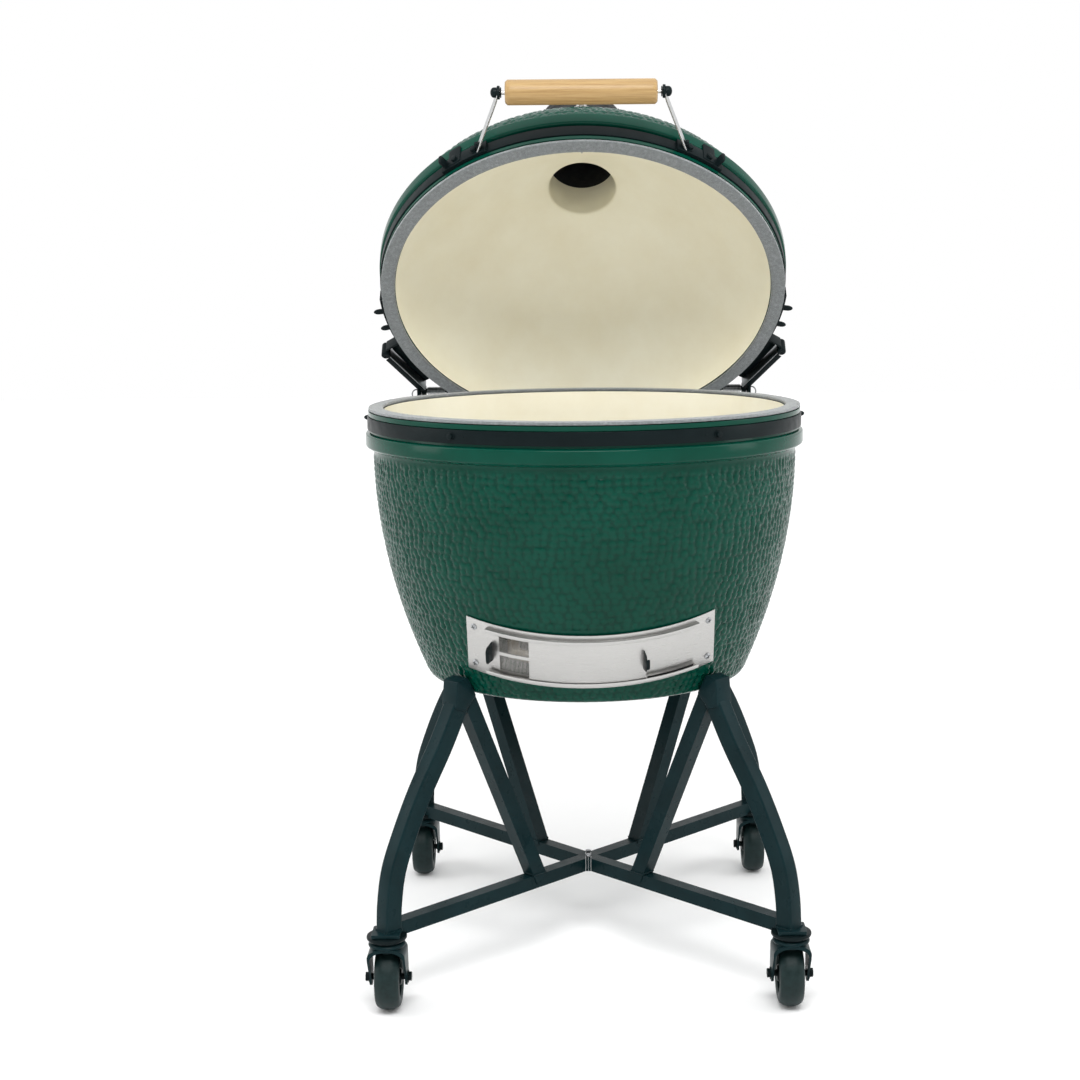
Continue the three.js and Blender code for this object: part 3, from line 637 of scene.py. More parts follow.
def bump_centres(side):
    """Staggered, slightly irregular rows of (x, y, z) on the turned side."""
    rows = resample(side, BUMP_PITCH * 0.82)[1:-1]
    centres = []
    for r, z in rows:
        count = max(12, int(round(2 * math.pi * r / BUMP_PITCH)))
        start = rng.uniform(0, 2 * math.pi)
        for k in range(count):
            a = start + 2 * math.pi * (k + rng.uniform(-0.17, 0.17)) / count
            dz = rng.uniform(-0.17, 0.17) * BUMP_PITCH
            centres.append(around(r, a, z + dz))
    return centres


def hammer(mesh, side, keep_out=None):
    """Raises the glaze's rounded bumps on the side, and marks how deep in a valley each point is."""
    centres = bump_centres(side)
    tree = KDTree(len(centres))
    sizes = rng.uniform(0.88, 1.1, len(centres))
    for i, c in enumerate(centres):
        tree.insert(c, i)
    tree.balance()
    low = min(z for _, z in side) + 3
    high = max(z for _, z in side) - 3
    outline = np.array(sorted((z, r) for r, z in side))
    pit = np.zeros(len(mesh.vertices))
    normals = [v.normal.copy() for v in mesh.vertices]
    for i, vertex in enumerate(mesh.vertices):
        p = vertex.co
        radial = math.hypot(p.x, p.y)
        if not low < p.z < high or abs(radial - np.interp(p.z, outline[:, 0], outline[:, 1])) > 2.5:
            continue
        fade = min(1.0, (p.z - low) / 8, (high - p.z) / 8)
        if keep_out is not None:
            fade *= keep_out(p)
        rise = 0.0
        for _, index, distance in tree.find_n(p, 2):
            t = distance / (BUMP_R * sizes[index])
            rise = max(rise, 1 - t * t)
        pit[i] = (1 - rise) * fade
        vertex.co = p + normals[i] * (BUMP_HEIGHT * (rise - 0.8) * fade)
    layer = mesh.attributes.new("pit", "FLOAT", "POINT")
    layer.data.foreach_set("value", pit)


def paint_inside(mesh, profile, down):
    """Gives the second material, bare ceramic, to the faces within the inner profile and under the gasket."""
    inner = np.array(sorted((z, r) for r, z in profile))
    flags = []
    for face in mesh.polygons:
        z, radial = face.center.z, math.hypot(face.center.x, face.center.y)
        within = radial < np.interp(z, inner[:, 0], inner[:, 1]) + 1.5
        flags.append(int(within or (down * z < GASKET_T + 1 and radial < RIM_R - 4)))
    mesh.polygons.foreach_set("material_index", flags)


def carve(piece, *cutters, operation="DIFFERENCE"):
    """Cuts solids out of a piece, or trims it to them, and applies the result."""
    for cutter in cutters:
        tool = linked("cutter", cutter)
        mod = piece.modifiers.new("cut", "BOOLEAN")
        mod.operation = operation
        mod.solver = "MANIFOLD"
        mod.object = tool
        cut = evaluated(piece)
        piece.modifiers.clear()
        old = piece.data
        piece.data = cut
        bpy.data.meshes.remove(old)
        bpy.data.objects.remove(tool)
        bpy.data.meshes.remove(cutter)


# ---------- ceramics ----------

def arc_solid(inner, outer, z0, z1, span, segments=48):
    return ring_mesh(oblong(inner, z0, outer, z1), segments, span=span)


DRAFT_LOCAL = BOWL.inverted() @ DRAFT
DRAFT_CUTS = DRAFT @ TO_METRES


def in_draft_frame(p):
    """A bowl point in millimetres, seen from the draft door's frame: its angle from the front and height."""
    local = DRAFT_LOCAL.inverted() @ (p * MM) / MM
    return math.atan2(local.x, -local.y), local.z


def away_from_draft(p):
    if p.y > 0:
        return 1.0
    angle, height = in_draft_frame(p)
    gap = max((abs(angle) - DRAFT_HALF) * DRAFT_R, abs(height) - DRAFT_H / 2)
    return min(1.0, max(0.0, (gap - 1) / 5))


def base_bowl():
    side = resample(bowl_side(), SIDE_STEP)
    foot = fillet([(230, -442, 0), (196, -BOWL_DEPTH, 10), (0, -BOWL_DEPTH, 0)], 0, 5)[1:]
    outside = fillet(rim_outline(-1), 1, 4)
    outline = outside + [tuple(p) for p in side] + foot + bowl_inside()[::-1]
    mesh = ring_mesh(outline, SIDE_COLUMNS)
    hammer(mesh, bowl_side(), away_from_draft)
    paint_inside(mesh, bowl_inside(), -1)
    piece = put("base_bowl_glazed", mesh, BOWL, "root", (GLAZE, CREAM), "base_bowl", 30)
    h = DRAFT_WINDOW_H / 2
    tunnel = moved(arc_solid(DRAFT_R - 75, DRAFT_R + 20, -h, h, DRAFT_WINDOW), DRAFT_CUTS)
    seat = arc_solid(DRAFT_R - 1.8, DRAFT_R + 20, -DRAFT_H / 2 - 0.6, DRAFT_H / 2 + 0.6,
                     (-DRAFT_HALF - 0.006, DRAFT_HALF + 0.006), 96)
    for cutter in (tunnel, seat):
        cutter.materials.append(GLAZE)
        cutter.materials.append(CREAM)
    carve(piece, tunnel, moved(seat, DRAFT_CUTS))


def lid_dome():
    side = resample(dome_side(), SIDE_STEP)
    crown = fillet([(DOME_TOP_R, DOME_TOP, 0), (DOME_TOP_R - 6, DOME_TOP + 3, 2), (DOME_TOP_R - 6, CHIMNEY_TOP, 1.5),
                    (CHIMNEY_R, CHIMNEY_TOP, 0)], 0, 3)[1:-1]
    outline = fillet(rim_outline(1), 1, 4) + [tuple(p) for p in side] + crown + dome_inside()[::-1]
    mesh = ring_mesh(outline, SIDE_COLUMNS)
    hammer(mesh, dome_side())
    paint_inside(mesh, dome_inside(), 1)
    put("lid_dome_glazed", mesh, LID, "lid", (GLAZE, CREAM), "lid_dome", 30)


def gasket(name, node, place, body, down):
    """A pressed felt ring with a lightly uneven face."""
    z0, z1 = sorted((0.0, float(-down * GASKET_T)))
    corners = fillet(oblong(GASKET_INNER_R, z0, RIM_R - 0.5, z1), 1.6, 3)
    outline = resample(corners + corners[:1], 2.2)[:-1]
    mesh = ring_mesh(outline, 720)
    for vertex in mesh.vertices:
        p = vertex.co
        radial = math.hypot(p.x, p.y)
        ripple = 0.25 * math.sin(9 * math.atan2(p.x, -p.y)) + rng.uniform(-0.16, 0.16)
        scale = (radial + ripple) / radial
        vertex.co = (p.x * scale, p.y * scale, p.z)
    put(name, mesh, place, body, FELT, node, 60)


def clamp_band(name, node, place, body, down):
    z0, z1 = sorted((-down * (LIP_H + 0.3), -down * (LIP_H + BAND_H)))
    inner = SEAT_R + 0.3
    outline = fillet(oblong(inner, z0, inner + BAND_T, z1), 0.8, 3)
    put(name, ring_mesh(outline, 256), place, body, BLACK, node)


base_bowl()
lid_dome()
gasket("base_gasket_felt", "base_gasket", BOWL, "root", 1)
gasket("lid_gasket_felt", "lid_gasket", LID, "lid", -1)
clamp_band("lower_band_steel", "lower_band", BOWL, "root", 1)
clamp_band("upper_band_steel", "upper_band", LID, "lid", -1)


def side_matrix(sx):
    """Right-hand shapes are kept, left-hand ones are mirrored."""
    return IDENTITY if sx > 0 else Matrix.Scale(-1, 4, (1, 0, 0))


def band_bolts():
    """Two bolts with a spare hole beside each on the front, and the clamp's joint at the back."""
    radius = SEAT_R + 0.3 + BAND_T - 0.1
    mid = LIP_H + BAND_H / 2
    for label, place, body, down in (("lower", BOWL, "root", -1), ("upper", LID, "lid", 1)):
        parts = []
        for sx in (-1, 1):
            if down < 0:
                parts.append(moved(hex_bolt(8.5, 4, 6.5), on_cylinder(radius, sx * 34, down * mid, 12)))
                plug = cylinder("z", 1.9, 0.6, (0, 0, 0.1), 0.2, 20)
                parts.append(moved(plug, on_cylinder(radius, sx * 30.5, down * mid)))
            ear = prism(fillet(oblong(-9, -9, 9, 9), 3), 3, shift(0, 0, 5), 0.6)
            parts.append(moved(ear, on_cylinder(radius, 180, down * mid) @ shift(sx * 9, 0, 4) @ turn("Y", 90)))
        screw = cylinder("x", 2.5, 34, (0, 0, 9), 0.5, 20)
        parts.append(moved(screw, on_cylinder(radius, 180, down * mid)))
        for x, angle in ((14, 90), (-14, -90)):
            nut = moved(hex_bolt(8, 4, 5.5), shift(x, 0, 9) @ turn("Y", angle))
            parts.append(moved(nut, on_cylinder(radius, 180, down * mid)))
        put(f"{label}_band_bolts", parts, place, body, BLACK)


def acorn_bolt(radius=5.5, height=14):
    base = cylinder("z", radius + 2.5, 1.4, (0, 0, 0.7), 0.3)
    return merge(base, moved(dome_nut(radius, height), shift(0, 0, 1.2)))


# ---------- draft door ----------

def screw_head(radius=4.4):
    head = ring_mesh([(0, 0), (radius, 0), (radius, 0.8), (radius * 0.8, 2.0), (radius * 0.4, 2.5), (0, 2.6)], 32)
    # The slots are thin dark bars on the head, not cuts: painted shade of the grooves.
    slots = [prism(rectangle(radius * 1.25, 1.0, 0.2), 0.5, turn("Z", 45 * k) @ shift(0, 0, 2.55), 0.1)
             for k in (1, 3)]
    return head, slots


def arc_profile(outline, span, segments=96, round_mm=0.3):
    """A closed section turned over a span given in degrees."""
    return ring_mesh(fillet(outline, round_mm, 2), segments, span=tuple(math.radians(a) for a in span))


def sheet(inner, outer, z0, z1, span, segments=96):
    return arc_profile(oblong(inner, z0, outer, z1), span, segments)


def draft_door():
    half = DRAFT_H / 2
    skin = sheet(DRAFT_R - 1.5, DRAFT_R, -half, half, [-37.6, 37.6], 120)
    frame_piece = put("draft_frame_sheet", skin, DRAFT, "root", STAINLESS, "draft_frame")
    h = DRAFT_WINDOW_H / 2
    window = arc_solid(DRAFT_R - 10, DRAFT_R + 10, -h, h, DRAFT_WINDOW, 60)
    carve(frame_piece, moved(window, DRAFT_CUTS))
    rails = []
    for s in (-1, 1):
        outline = [(DRAFT_R - 0.3, half - 8), (DRAFT_R + 6.8, half - 8), (DRAFT_R + 6.8, half - 13),
                   (DRAFT_R + 8, half - 13), (DRAFT_R + 8, half - 6.8), (DRAFT_R - 0.3, half - 6.8)]
        rails.append(arc_profile([(r, s * z) for r, z in outline], DRAFT_RAIL, 96, 0.4))
    put("draft_rails", rails, DRAFT, "root", STAINLESS)
    heads, slots = [], []
    for azimuth, z in ((-35, 33), (-35, -33), (35.2, 33), (35.2, -33)):
        head, marks = screw_head(5.2)
        place = on_cylinder(DRAFT_R, azimuth, z, rng.uniform(0, 90))
        heads.append(moved(head, place))
        slots += [moved(m, place) for m in marks]
    put("draft_screws", heads, DRAFT, "root", ZINC)
    # The screw slots take the near-black: painted shade.
    put("draft_screw_slots", slots, DRAFT, "root", PAINTED_SHADE)
    # A near-black strip along the gap under the door's lower edge: painted shadow.
    gap = sheet(DRAFT_R - 0.4, DRAFT_R + 0.5, -39.6, -36.4, [15.6, 30.2])
    put("draft_slot_painted_shadow", gap, DRAFT, "root", PAINTED_SHADE)
    # The pull tab is drawn in black steel: painted shade for a stainless tab that stands in shadow.
    put("draft_door_tab_folded", pull_tab(DRAFT_R + 5, 14.2), DRAFT, "draft_door", BLACK)
    door = sheet(DRAFT_R + 4.6, DRAFT_R + 6.1, -SLIDER_HALF, SLIDER_HALF, [-17.6, 14.9])
    put("draft_door_sheet", door, DRAFT, "draft_door", STAINLESS, "draft_door")


def pull_tab(radius, azimuth):
    """A folded tab: a thin strip that stands out, with its free edge turned over."""
    reach = DRAFT_R + 21 - radius
    outline = fillet([(0, -17, 0), (reach - 3, -15, 4), (reach, -9, 3), (reach, 9, 3), (reach - 3, 15, 4),
                      (0, 17, 0)], 2)
    flat = Matrix(((0, 0, 1, 0), (0, 1, 0, 0), (1, 0, 0, 0), (0, 0, 0, 1)))
    strip = moved(prism(outline, 1.3, soft=0.3), flat)
    strip.flip_normals()
    lip = prism(rectangle(5, 18, 2), 1.2, shift(2.2, 0, reach), 0.3)
    return moved(merge(strip, lip), on_cylinder(radius, azimuth, 0))


def draft_screen():
    inner = DRAFT_R + 1
    plate = sheet(inner, inner + 1.5, -SLIDER_HALF, SLIDER_HALF, [-29.3, 3], 80)
    piece = put("draft_screen_sheet", plate, DRAFT, "draft_screen", STAINLESS, "draft_screen")
    cutters = []
    for start in (-26.6, -16.6, -6.6):
        for z0 in (3, -33):
            span = (math.radians(start), math.radians(start + 8.8))
            cutters.append(moved(arc_solid(inner - 5, inner + 5, z0, z0 + 30, span, 12), DRAFT_CUTS))
    carve(piece, *cutters)
    # The pull tab is drawn in black steel: painted shade for a stainless tab that stands in shadow.
    put("draft_screen_tab_folded", pull_tab(inner + 1.4, -29.0), DRAFT, "draft_screen", BLACK,
                 "draft_screen_tab")
    wires = []
    radius = inner + 0.5
    for a in np.linspace(-27.2, 2.6, 76):
        wires.append(sweep([around(radius, math.radians(a), z) for z in (-34, 34)], circle(0.33, 4), up=Vector((0, 1, 0))))
    for z in np.linspace(-33.6, 33.6, 35):
        path = [around(radius, math.radians(a), z) for a in np.linspace(-27.4, 2.8, 25)]
        wires.append(sweep(path, circle(0.33, 4)))
    put("draft_screen_wires", wires, DRAFT, "draft_screen", ROD_STEEL)


# ---------- hinge ----------

def link_outline(a, b, radius, waist=0, steps=12):
    """A link from one round eye to another in (y, z), narrowed a little at the waist."""
    a, b = Vector(a), Vector(b)
    heading = math.atan2(b.y - a.y, b.x - a.x)
    side = Vector((-math.sin(heading), math.cos(heading)))
    outline = []
    for centre, start, sign in ((b, heading - math.pi / 2, 1), (a, heading + math.pi / 2, -1)):
        for i in range(steps + 1):
            angle = start + math.pi * i / steps
            outline.append((centre.x + radius * math.cos(angle), centre.y + radius * math.sin(angle)))
        if waist:
            mid = (a + b) / 2 + side * sign * (radius - waist)
            outline.append((mid.x, mid.y))
    return outline


def helix(x0, x1, radius, wire, turns, centre, sides=8, per_turn=22):
    count = int(turns * per_turn)
    path = []
    for i in range(count + 1):
        t = i / count
        ease = min(1.0, t * turns, (1 - t) * turns)
        span = x1 - x0
        x = x0 + wire + (span - 2 * wire) * t
        angle = 2 * math.pi * turns * t
        r = radius * (0.7 + 0.3 * ease)
        path.append((x, centre[0] + r * math.cos(angle), centre[1] + r * math.sin(angle)))
    return sweep(path, circle(wire, sides), up=Vector((1, 0, 0.01)))


def wire_ring(radius, wire, start=0, end=360, steps=28, sides=8):
    """A ring of wire in the (y, z) plane, open between its end angles."""
    angles = [math.radians(start + (end - start) * i / steps) for i in range(steps + 1)]
    path = [(0, radius * math.cos(a), radius * math.sin(a)) for a in angles]
    return sweep(path, circle(wire, sides), up=Vector((1, 0, 0)))


def hinge_side(label, sx):
    mirror = side_matrix(sx)
    ground = GROUND @ mirror
    lid = LID @ mirror
    low = (LOWER_PIVOT.y / MM - AXIS_Y / MM, LOWER_PIVOT.z / MM)
    high = (UPPER_PIVOT.y / MM - AXIS_Y / MM, UPPER_PIVOT.z / MM)
    rim = RIM_Z / MM
    top = rim - LIP_H - 1
    band = SEAT_R + BAND_T + 0.6

    # bowl bracket: a foot on the band, a web down to the lower pivot
    py, pz = low
    web_outline = fillet([(172, top), (225, top), (py + 9, pz + 11, 8), (py + 14, pz - 2, 8), (py + 3, pz - 14, 10),
                          (275, pz - 12, 12), (200, top - 40, 14), (172, top - 22)], 4)
    web = prism(web_outline, 5, cross_plane(312.5), 0.9)
    lower_band = sheet(band - 0.5, band + 3.9, top - BAND_H + 1, top - 0.5, [96, 122], 24)
    gusset = prism(fillet(oblong(200, top, 262, top - 16), 3), 4, cross_plane(318.5), 0.7)
    pin = cylinder("x", 5, 14, (312, py, pz), 0.6)
    head = moved(hex_bolt(13, 5, 9), shift(315, py, pz) @ turn("Y", 90))
    bolts = [moved(acorn_bolt(4.6, 15), on_cylinder(band + 3.6, a, top - BAND_H / 2)) for a in (99.5, 118)]
    bracket = merge(web, lower_band, gusset, pin, head, *bolts)
    put(f"hinge_base_bracket_{label}_pressed", bracket, ground, "root", BLACK,
                 f"hinge_base_bracket_{label}")

    # arm between the pivots
    link = prism(link_outline(low, high, 12, 3), 5, cross_plane(305.5), 0.9)
    pivot = cylinder("x", 4, 50, (279.5, *high), 0.5)
    cap = cylinder("x", 7, 3, (253.5, *high), 0.6)
    boss = cylinder("x", 9, 2.2, (308.6, *high), 0.6)
    eye = cylinder("x", 9.5, 2.0, (302.4, *low), 0.5)
    put(f"hinge_arm_{label}_pressed", [link, pivot, cap, boss, eye], ground, "hinge_arms",
                 BLACK, f"hinge_arm_{label}")

    # coil spring with its hook
    coil = helix(256.5, 293, 6.1, 1.15, 13, high)
    put(f"hinge_spring_{label}_coil", coil, ground, "hinge_arms", SPRING,
                 f"hinge_spring_{label}", 60)
    hook = moved(wire_ring(8.5, 1.2, -120, 205), shift(311, high[0] - 2, high[1] - 6) @ turn("Z", 70))
    put(f"hinge_spring_{label}_hook", hook, ground, "hinge_arms", ZINC, smooth=60)

    # lid bracket: a strap on the band, a post, and a channel to the upper pivot
    z0, z1 = LIP_H - 1.5, LIP_H + BAND_H - 0.5
    mid = (z0 + z1) / 2
    strap = sheet(band, band + 3.6, z0, z1, [92, 109], 28)
    knob = Vector((358, 154, mid))
    eye_at = Vector((296.5, 251, mid))
    tall = z1 - z0
    section = rectangle(3.6, tall, 1.2)
    path = [(band + 2) * Vector((math.sin(a), -math.cos(a), 0)) + Vector((0, 0, mid))
            for a in np.radians([106, 108.5, 110.5])]
    lift = sweep(path + [knob + Vector((-3, -12, 0)), knob], section)
    out = (eye_at - knob).normalized()
    away = Vector((0, 0, 1)).cross(out)
    channel = sweep([knob, eye_at], rectangle(4.4, tall, 1.2))
    edges = [Vector((0, 0, s * (tall / 2 - 1.2))) for s in (-1, 1)]
    ribs = [sweep([knob + out * 12 + edge - away * 4, eye_at + edge - away * 4], rectangle(9, 2.4, 1)) for edge in edges]
    web_edge = [(353, 150), (297, 247), (274, 231), (293, 199), (312, 167), (328, 134)]
    backing = prism(fillet(web_edge, 3), 2.5, shift(0, 0, z1 - 2), 0.6)
    steel = sweep([knob + out * 8 + away * 3.2, eye_at + away * 3.2], rectangle(1.4, tall, 0.4))
    put(f"lid_bracket_{label}_strip", steel, lid, "lid", ZINC)
    post = moved(ring_mesh(fillet(oblong(0, -tall / 2 - 3, 8, tall / 2 + 3), 3, 5), 36), shift(*knob))
    ey, ez = PIVOT_IN_LID.y / MM, PIVOT_IN_LID.z / MM
    barrel = cylinder("x", 10, 8, (297, ey, ez), 1.2, 36, 4.4)
    studs = [moved(acorn_bolt(4.8, 18), on_cylinder(band + 3.4, a, mid)) for a in (98.5, 105)]
    put(f"lid_bracket_{label}_pressed", [strap, lift, channel, *ribs, backing, post, barrel, *studs], lid,
                 "lid", BLACK, f"lid_bracket_{label}")


# ---------- handle ----------

GRIP_Y, GRIP_Z, GRIP_R, GRIP_L = -425, 27, 19.5, 237
HANDLE_ARM_X = 129


def handle():
    half = GRIP_L / 2
    outline = fillet([(4.5, -half), (GRIP_R, -half, 2.5), (GRIP_R, half, 2.5), (4.5, half)], 0.6, 4)
    profile = [outline[0]] + [tuple(p) for p in resample(outline, 6)[1:-1]] + [outline[-1]]
    grip = moved(ring_mesh(profile, 72), shift(0, GRIP_Y, GRIP_Z) @ turn("Y", 90))
    put("handle_grip_turned", grip, LID, "lid", WOOD, "handle_grip", 50)
    rod = cylinder("x", 3.2, 2 * HANDLE_ARM_X + 20, (0, GRIP_Y, GRIP_Z), 0.8, 24)
    ends = []
    for s in (-1, 1):
        face = shift(s * (HANDLE_ARM_X + 2.6), GRIP_Y, GRIP_Z) @ turn("Y", 90 * s)
        ends.append(moved(dome_nut(8, 10), face))
        ends.append(cylinder("x", 8, 1.6, (s * (HANDLE_ARM_X - 3.6), GRIP_Y, GRIP_Z), 0.3, 28))
    put("handle_rod_ends", ends, LID, "lid", BLACK)
    put("handle_rod_shaft", rod, LID, "lid", ROD_STEEL, "handle_rod")
    for label, sx in (("left", -1), ("right", 1)):
        mirror = LID @ side_matrix(sx)
        mid = LIP_H + BAND_H / 2
        band = SEAT_R + BAND_T + 0.6
        root_at = Vector((168, -311, mid))
        tip = Vector((HANDLE_ARM_X, GRIP_Y, GRIP_Z))
        lean = (tip - root_at).normalized()
        path = [root_at, root_at + lean * 14, tip - lean * 16, tip - lean * 4 + Vector((0.4, -2, 0)),
                tip + Vector((0, -5, 0))]
        arm = sweep(path, rectangle(3.4, 17, 1.2))
        eye = cylinder("x", 10.5, 4.4, tuple(tip), 1.0, 36, 3.4)
        put(f"handle_arm_{label}", arm, mirror, "lid", ARM_STEEL,
                     f"handle_bracket_{label}")
        strap = sheet(band, band + 4.6, LIP_H - 0.5, LIP_H + BAND_H + 0.8, [25.5, 39.5], 20)
        ear = prism(fillet([(-9, -2), (9, -2), (9, 19, 5), (-9, 19, 5)], 1.5), 4, soft=0.8)
        flag = moved(ear, on_cylinder(band + 3, 38, mid) @ turn("Y", 90) @ turn("Z", 90))
        studs = [moved(hex_bolt(9.5, 5, 7), on_cylinder(band + 4.4, a, mid, 20)) for a in (29, 35)]
        cheek = moved(hex_bolt(9, 4.5, 6.5), shift(*(root_at + lean * 12)) @ turn("Y", 90) @ shift(0, 0, 2))
        pad = moved(prism(rectangle(23, 36, 3), 3, soft=0.9), on_cylinder(RIDGE_R + 2.2, 35.2, LIP_H + 20))
        put(f"handle_bracket_{label}_pressed", [strap, flag, cheek, pad, eye, *studs], mirror, "lid",
                     BLACK)


# ---------- chimney vent ----------

VENT_TOP = 440
VENT_PIVOT_X = 72


def petal_holes(at, radius, start=0.0):
    angles = [start + 2 * math.pi * i / 5 for i in range(5)]
    return [(at * math.cos(a), at * math.sin(a), radius) for a in angles]


def vent():
    inner, outer, low = DOME_TOP_R - 4.5, DOME_TOP_R + 3, DOME_TOP + 4
    collar = fillet([(inner, low), (outer, low), (outer, low + 9), (outer - 3, low + 13), (outer - 3, VENT_TOP - 10),
                     (outer, VENT_TOP - 7), (outer, VENT_TOP), (CHIMNEY_R + 1, VENT_TOP), (CHIMNEY_R + 1, CHIMNEY_TOP + 0.3),
                     (inner, CHIMNEY_TOP + 0.3)], 1.6)
    clamp = ring_mesh(fillet(oblong(outer - 3.4, low + 22, outer, low + 33), 0.8), 96)
    base = merge(ring_mesh(collar, 96), clamp, cylinder("z", 4, 15, (VENT_PIVOT_X, 0, VENT_TOP + 6.5), 0.8),
                 moved(hex_bolt(9, 5, 6), shift(VENT_PIVOT_X, 0, VENT_TOP + 17.6)))
    put("vent_base_cast", base, LID, "lid", IRON, "vent_base")
    z = VENT_TOP + 0.5
    skirt = fillet([(58, z), (80, z), (80, z + 9), (66, z + 16.8), (48, z + 16.8), (48, z + 11), (54, z + 9)], 2.2)
    plate = prism(circle(52, 72), 6, shift(0, 0, z + 13.8), 0.8, petal_holes(30, 10))
    hub = cylinder("z", 5, 9, (0, 0, z + 20), 0.8)
    ribs = [moved(prism(rectangle(3, 16, 1), 1.5, shift(0, 73, z + 10), 0.5), turn("Z", k * 30)) for k in range(12)]
    put("vent_cap_cast", merge(ring_mesh(skirt, 96), plate, hub, *ribs), LID, "vent_cap",
                 IRON, "vent_cap")
    z = VENT_TOP + 18
    disc = prism(circle(50, 72), 4.6, shift(0, 0, z + 2.5), 0.9, petal_holes(30, 9, math.pi / 5))
    rim = ring_mesh(fillet([(45, z + 4), (49.5, z + 4), (49, z + 6.4), (45.6, z + 6.4)], 0.8), 72)
    knob = ring_mesh(fillet([(0, z + 3), (4, z + 3), (4, z + 10), (6.2, z + 13), (6.2, z + 17), (3, z + 19),
                             (0, z + 19)], 1.4), 28)
    nut = moved(hex_bolt(9, 4, 7), shift(0, 0, z + 5))
    put("vent_damper_cast", merge(disc, rim, moved(knob, shift(44, 0, 0)), nut), LID, "vent_damper",
                 IRON, "vent_damper")


# ---------- thermometer ----------

THERMO_H = 160


def dome_radius(h):
    return SIDE_R - (SIDE_R - DOME_TOP_R) * ((h - SIDE_FROM) / (DOME_TOP - SIDE_FROM)) ** DOME_SHAPE


def thermometer():
    r = dome_radius(THERMO_H)
    lean = math.atan2(r - dome_radius(THERMO_H + 5), 5)
    place = LID @ shift(0, -r * MM, THERMO_H * MM) @ Matrix.Rotation(math.pi / 2 - lean, 4, "X")
    case = fillet([(0, 11.2), (24, 11.2), (29, 13, 2), (30, 16, 1), (30, 24.2, 1.6), (26.6, 25.4, 1),
                   (26.2, 22.4, 0), (0, 22.4)], 1, 4)
    stem = ring_mesh(fillet([(0, -74), (2, -72), (3.5, -66), (3.5, 2), (9, 3), (9, 12), (0, 12)], 0.8), 28)
    flange = cylinder("z", 12, 2, (0, 0, 2.2), 0.6)
    put("thermometer_case", merge(ring_mesh(case, 72), stem, flange), place, "lid",
                 STAINLESS, "thermometer")
    dial = cylinder("z", 26, 0.5, (0, 0, 22.8), 0.1, 64)
    put("thermometer_dial", dial, place, "lid", WHITE)
    marks = []
    for i in range(41):
        long = i % 5 == 0
        bar = prism(rectangle(0.9 if long else 0.45, 4.5 if long else 2.6, 0.1, 1), 0.3, soft=0.05)
        angle = 135 - 270 * i / 40
        marks.append(moved(bar, turn("Z", angle) @ shift(0, 22.6 - (4.5 if long else 2.6) / 2, 23.15)))
    needle = moved(prism([(-1.1, -5), (1.1, -5), (0.25, 19), (-0.25, 19)], 0.5, shift(0, 0, 23.9), 0.1), turn("Z", 128))
    hub = cylinder("z", 2.4, 1.2, (0, 0, 23.8), 0.3, 24)
    put("thermometer_marks", [needle, hub, *marks], place, "lid", BLACK, smooth=0)
    glass = ring_mesh(fillet([(0, 24.5), (26.4, 24.3), (26.4, 25), (14, 26.1), (0, 26.4)], 0.2), 64)
    put("thermometer_glass", glass, place, "lid", GLASS)


# ---------- stand ----------

TUBE_W, TUBE_D = 30, 27
RAIL_SIZE = 22
FOOT = middle("caster_stem_front_right").x / MM
RAIL_Z = middle("hub_plate_right").z / MM
LEG_LINE = [(195, 478), (226, 401), (257, 335), (281, 273), (297, 222), (304, 172), (306, 124)]
CORNERS = {"front_left": (-1, -1), "front_right": (1, -1), "rear_left": (-1, 1), "rear_right": (1, 1)}


def spline(points, steps):
    """A smooth curve through the points, spaced by the square root of their distances."""
    p = [Vector(q) for q in points]
    p = [p[0] * 2 - p[1]] + p + [p[-1] * 2 - p[-2]]
    curve = []
    for i in range(1, len(p) - 2):
        t = [0.0]
        for k in range(3):
            t.append(t[-1] + (p[i + k] - p[i + k - 1]).length ** 0.5)
        for s in range(steps):
            u = t[1] + (t[2] - t[1]) * s / steps
            level = p[i - 1:i + 3]

            def mixed(values, k, end):
                span = t[end] - t[k]
                return values[0] * ((t[end] - u) / span) + values[1] * ((u - t[k]) / span)

            a = [mixed(level[k:k + 2], k, k + 1) for k in range(3)]
            b = [mixed(a[k:k + 2], k, k + 2) for k in range(2)]
            curve.append(mixed(b, 1, 2))
    return curve + [p[-2]]


def weld(path, wire=1.5):
    """A bead of weld along a closed path."""
    points = []
    for i, point in enumerate(path):
        after = Vector(path[(i + 1) % len(path)])
        gap = (after - Vector(point)).length
        for k in range(max(1, int(gap / 2.2))):
            points.append(Vector(point).lerp(after, k / max(1, int(gap / 2.2))))
    jitter = [q + Vector(rng.uniform(-0.25, 0.25, 3)) for q in points]
    return sweep(jitter, circle(wire, 7), up=Vector((0.31, 0.2, 0.93)), closed=True)


def tube_weld(centre, along, width, depth, up, grow=0.5, wire=1.5):
    along = Vector(along).normalized()
    side = Vector(up).cross(along).normalized()
    top = along.cross(side)
    return weld([Vector(centre) + side * u + top * v for u, v in rectangle(width + grow, depth + grow, 2.5, 3)], wire)


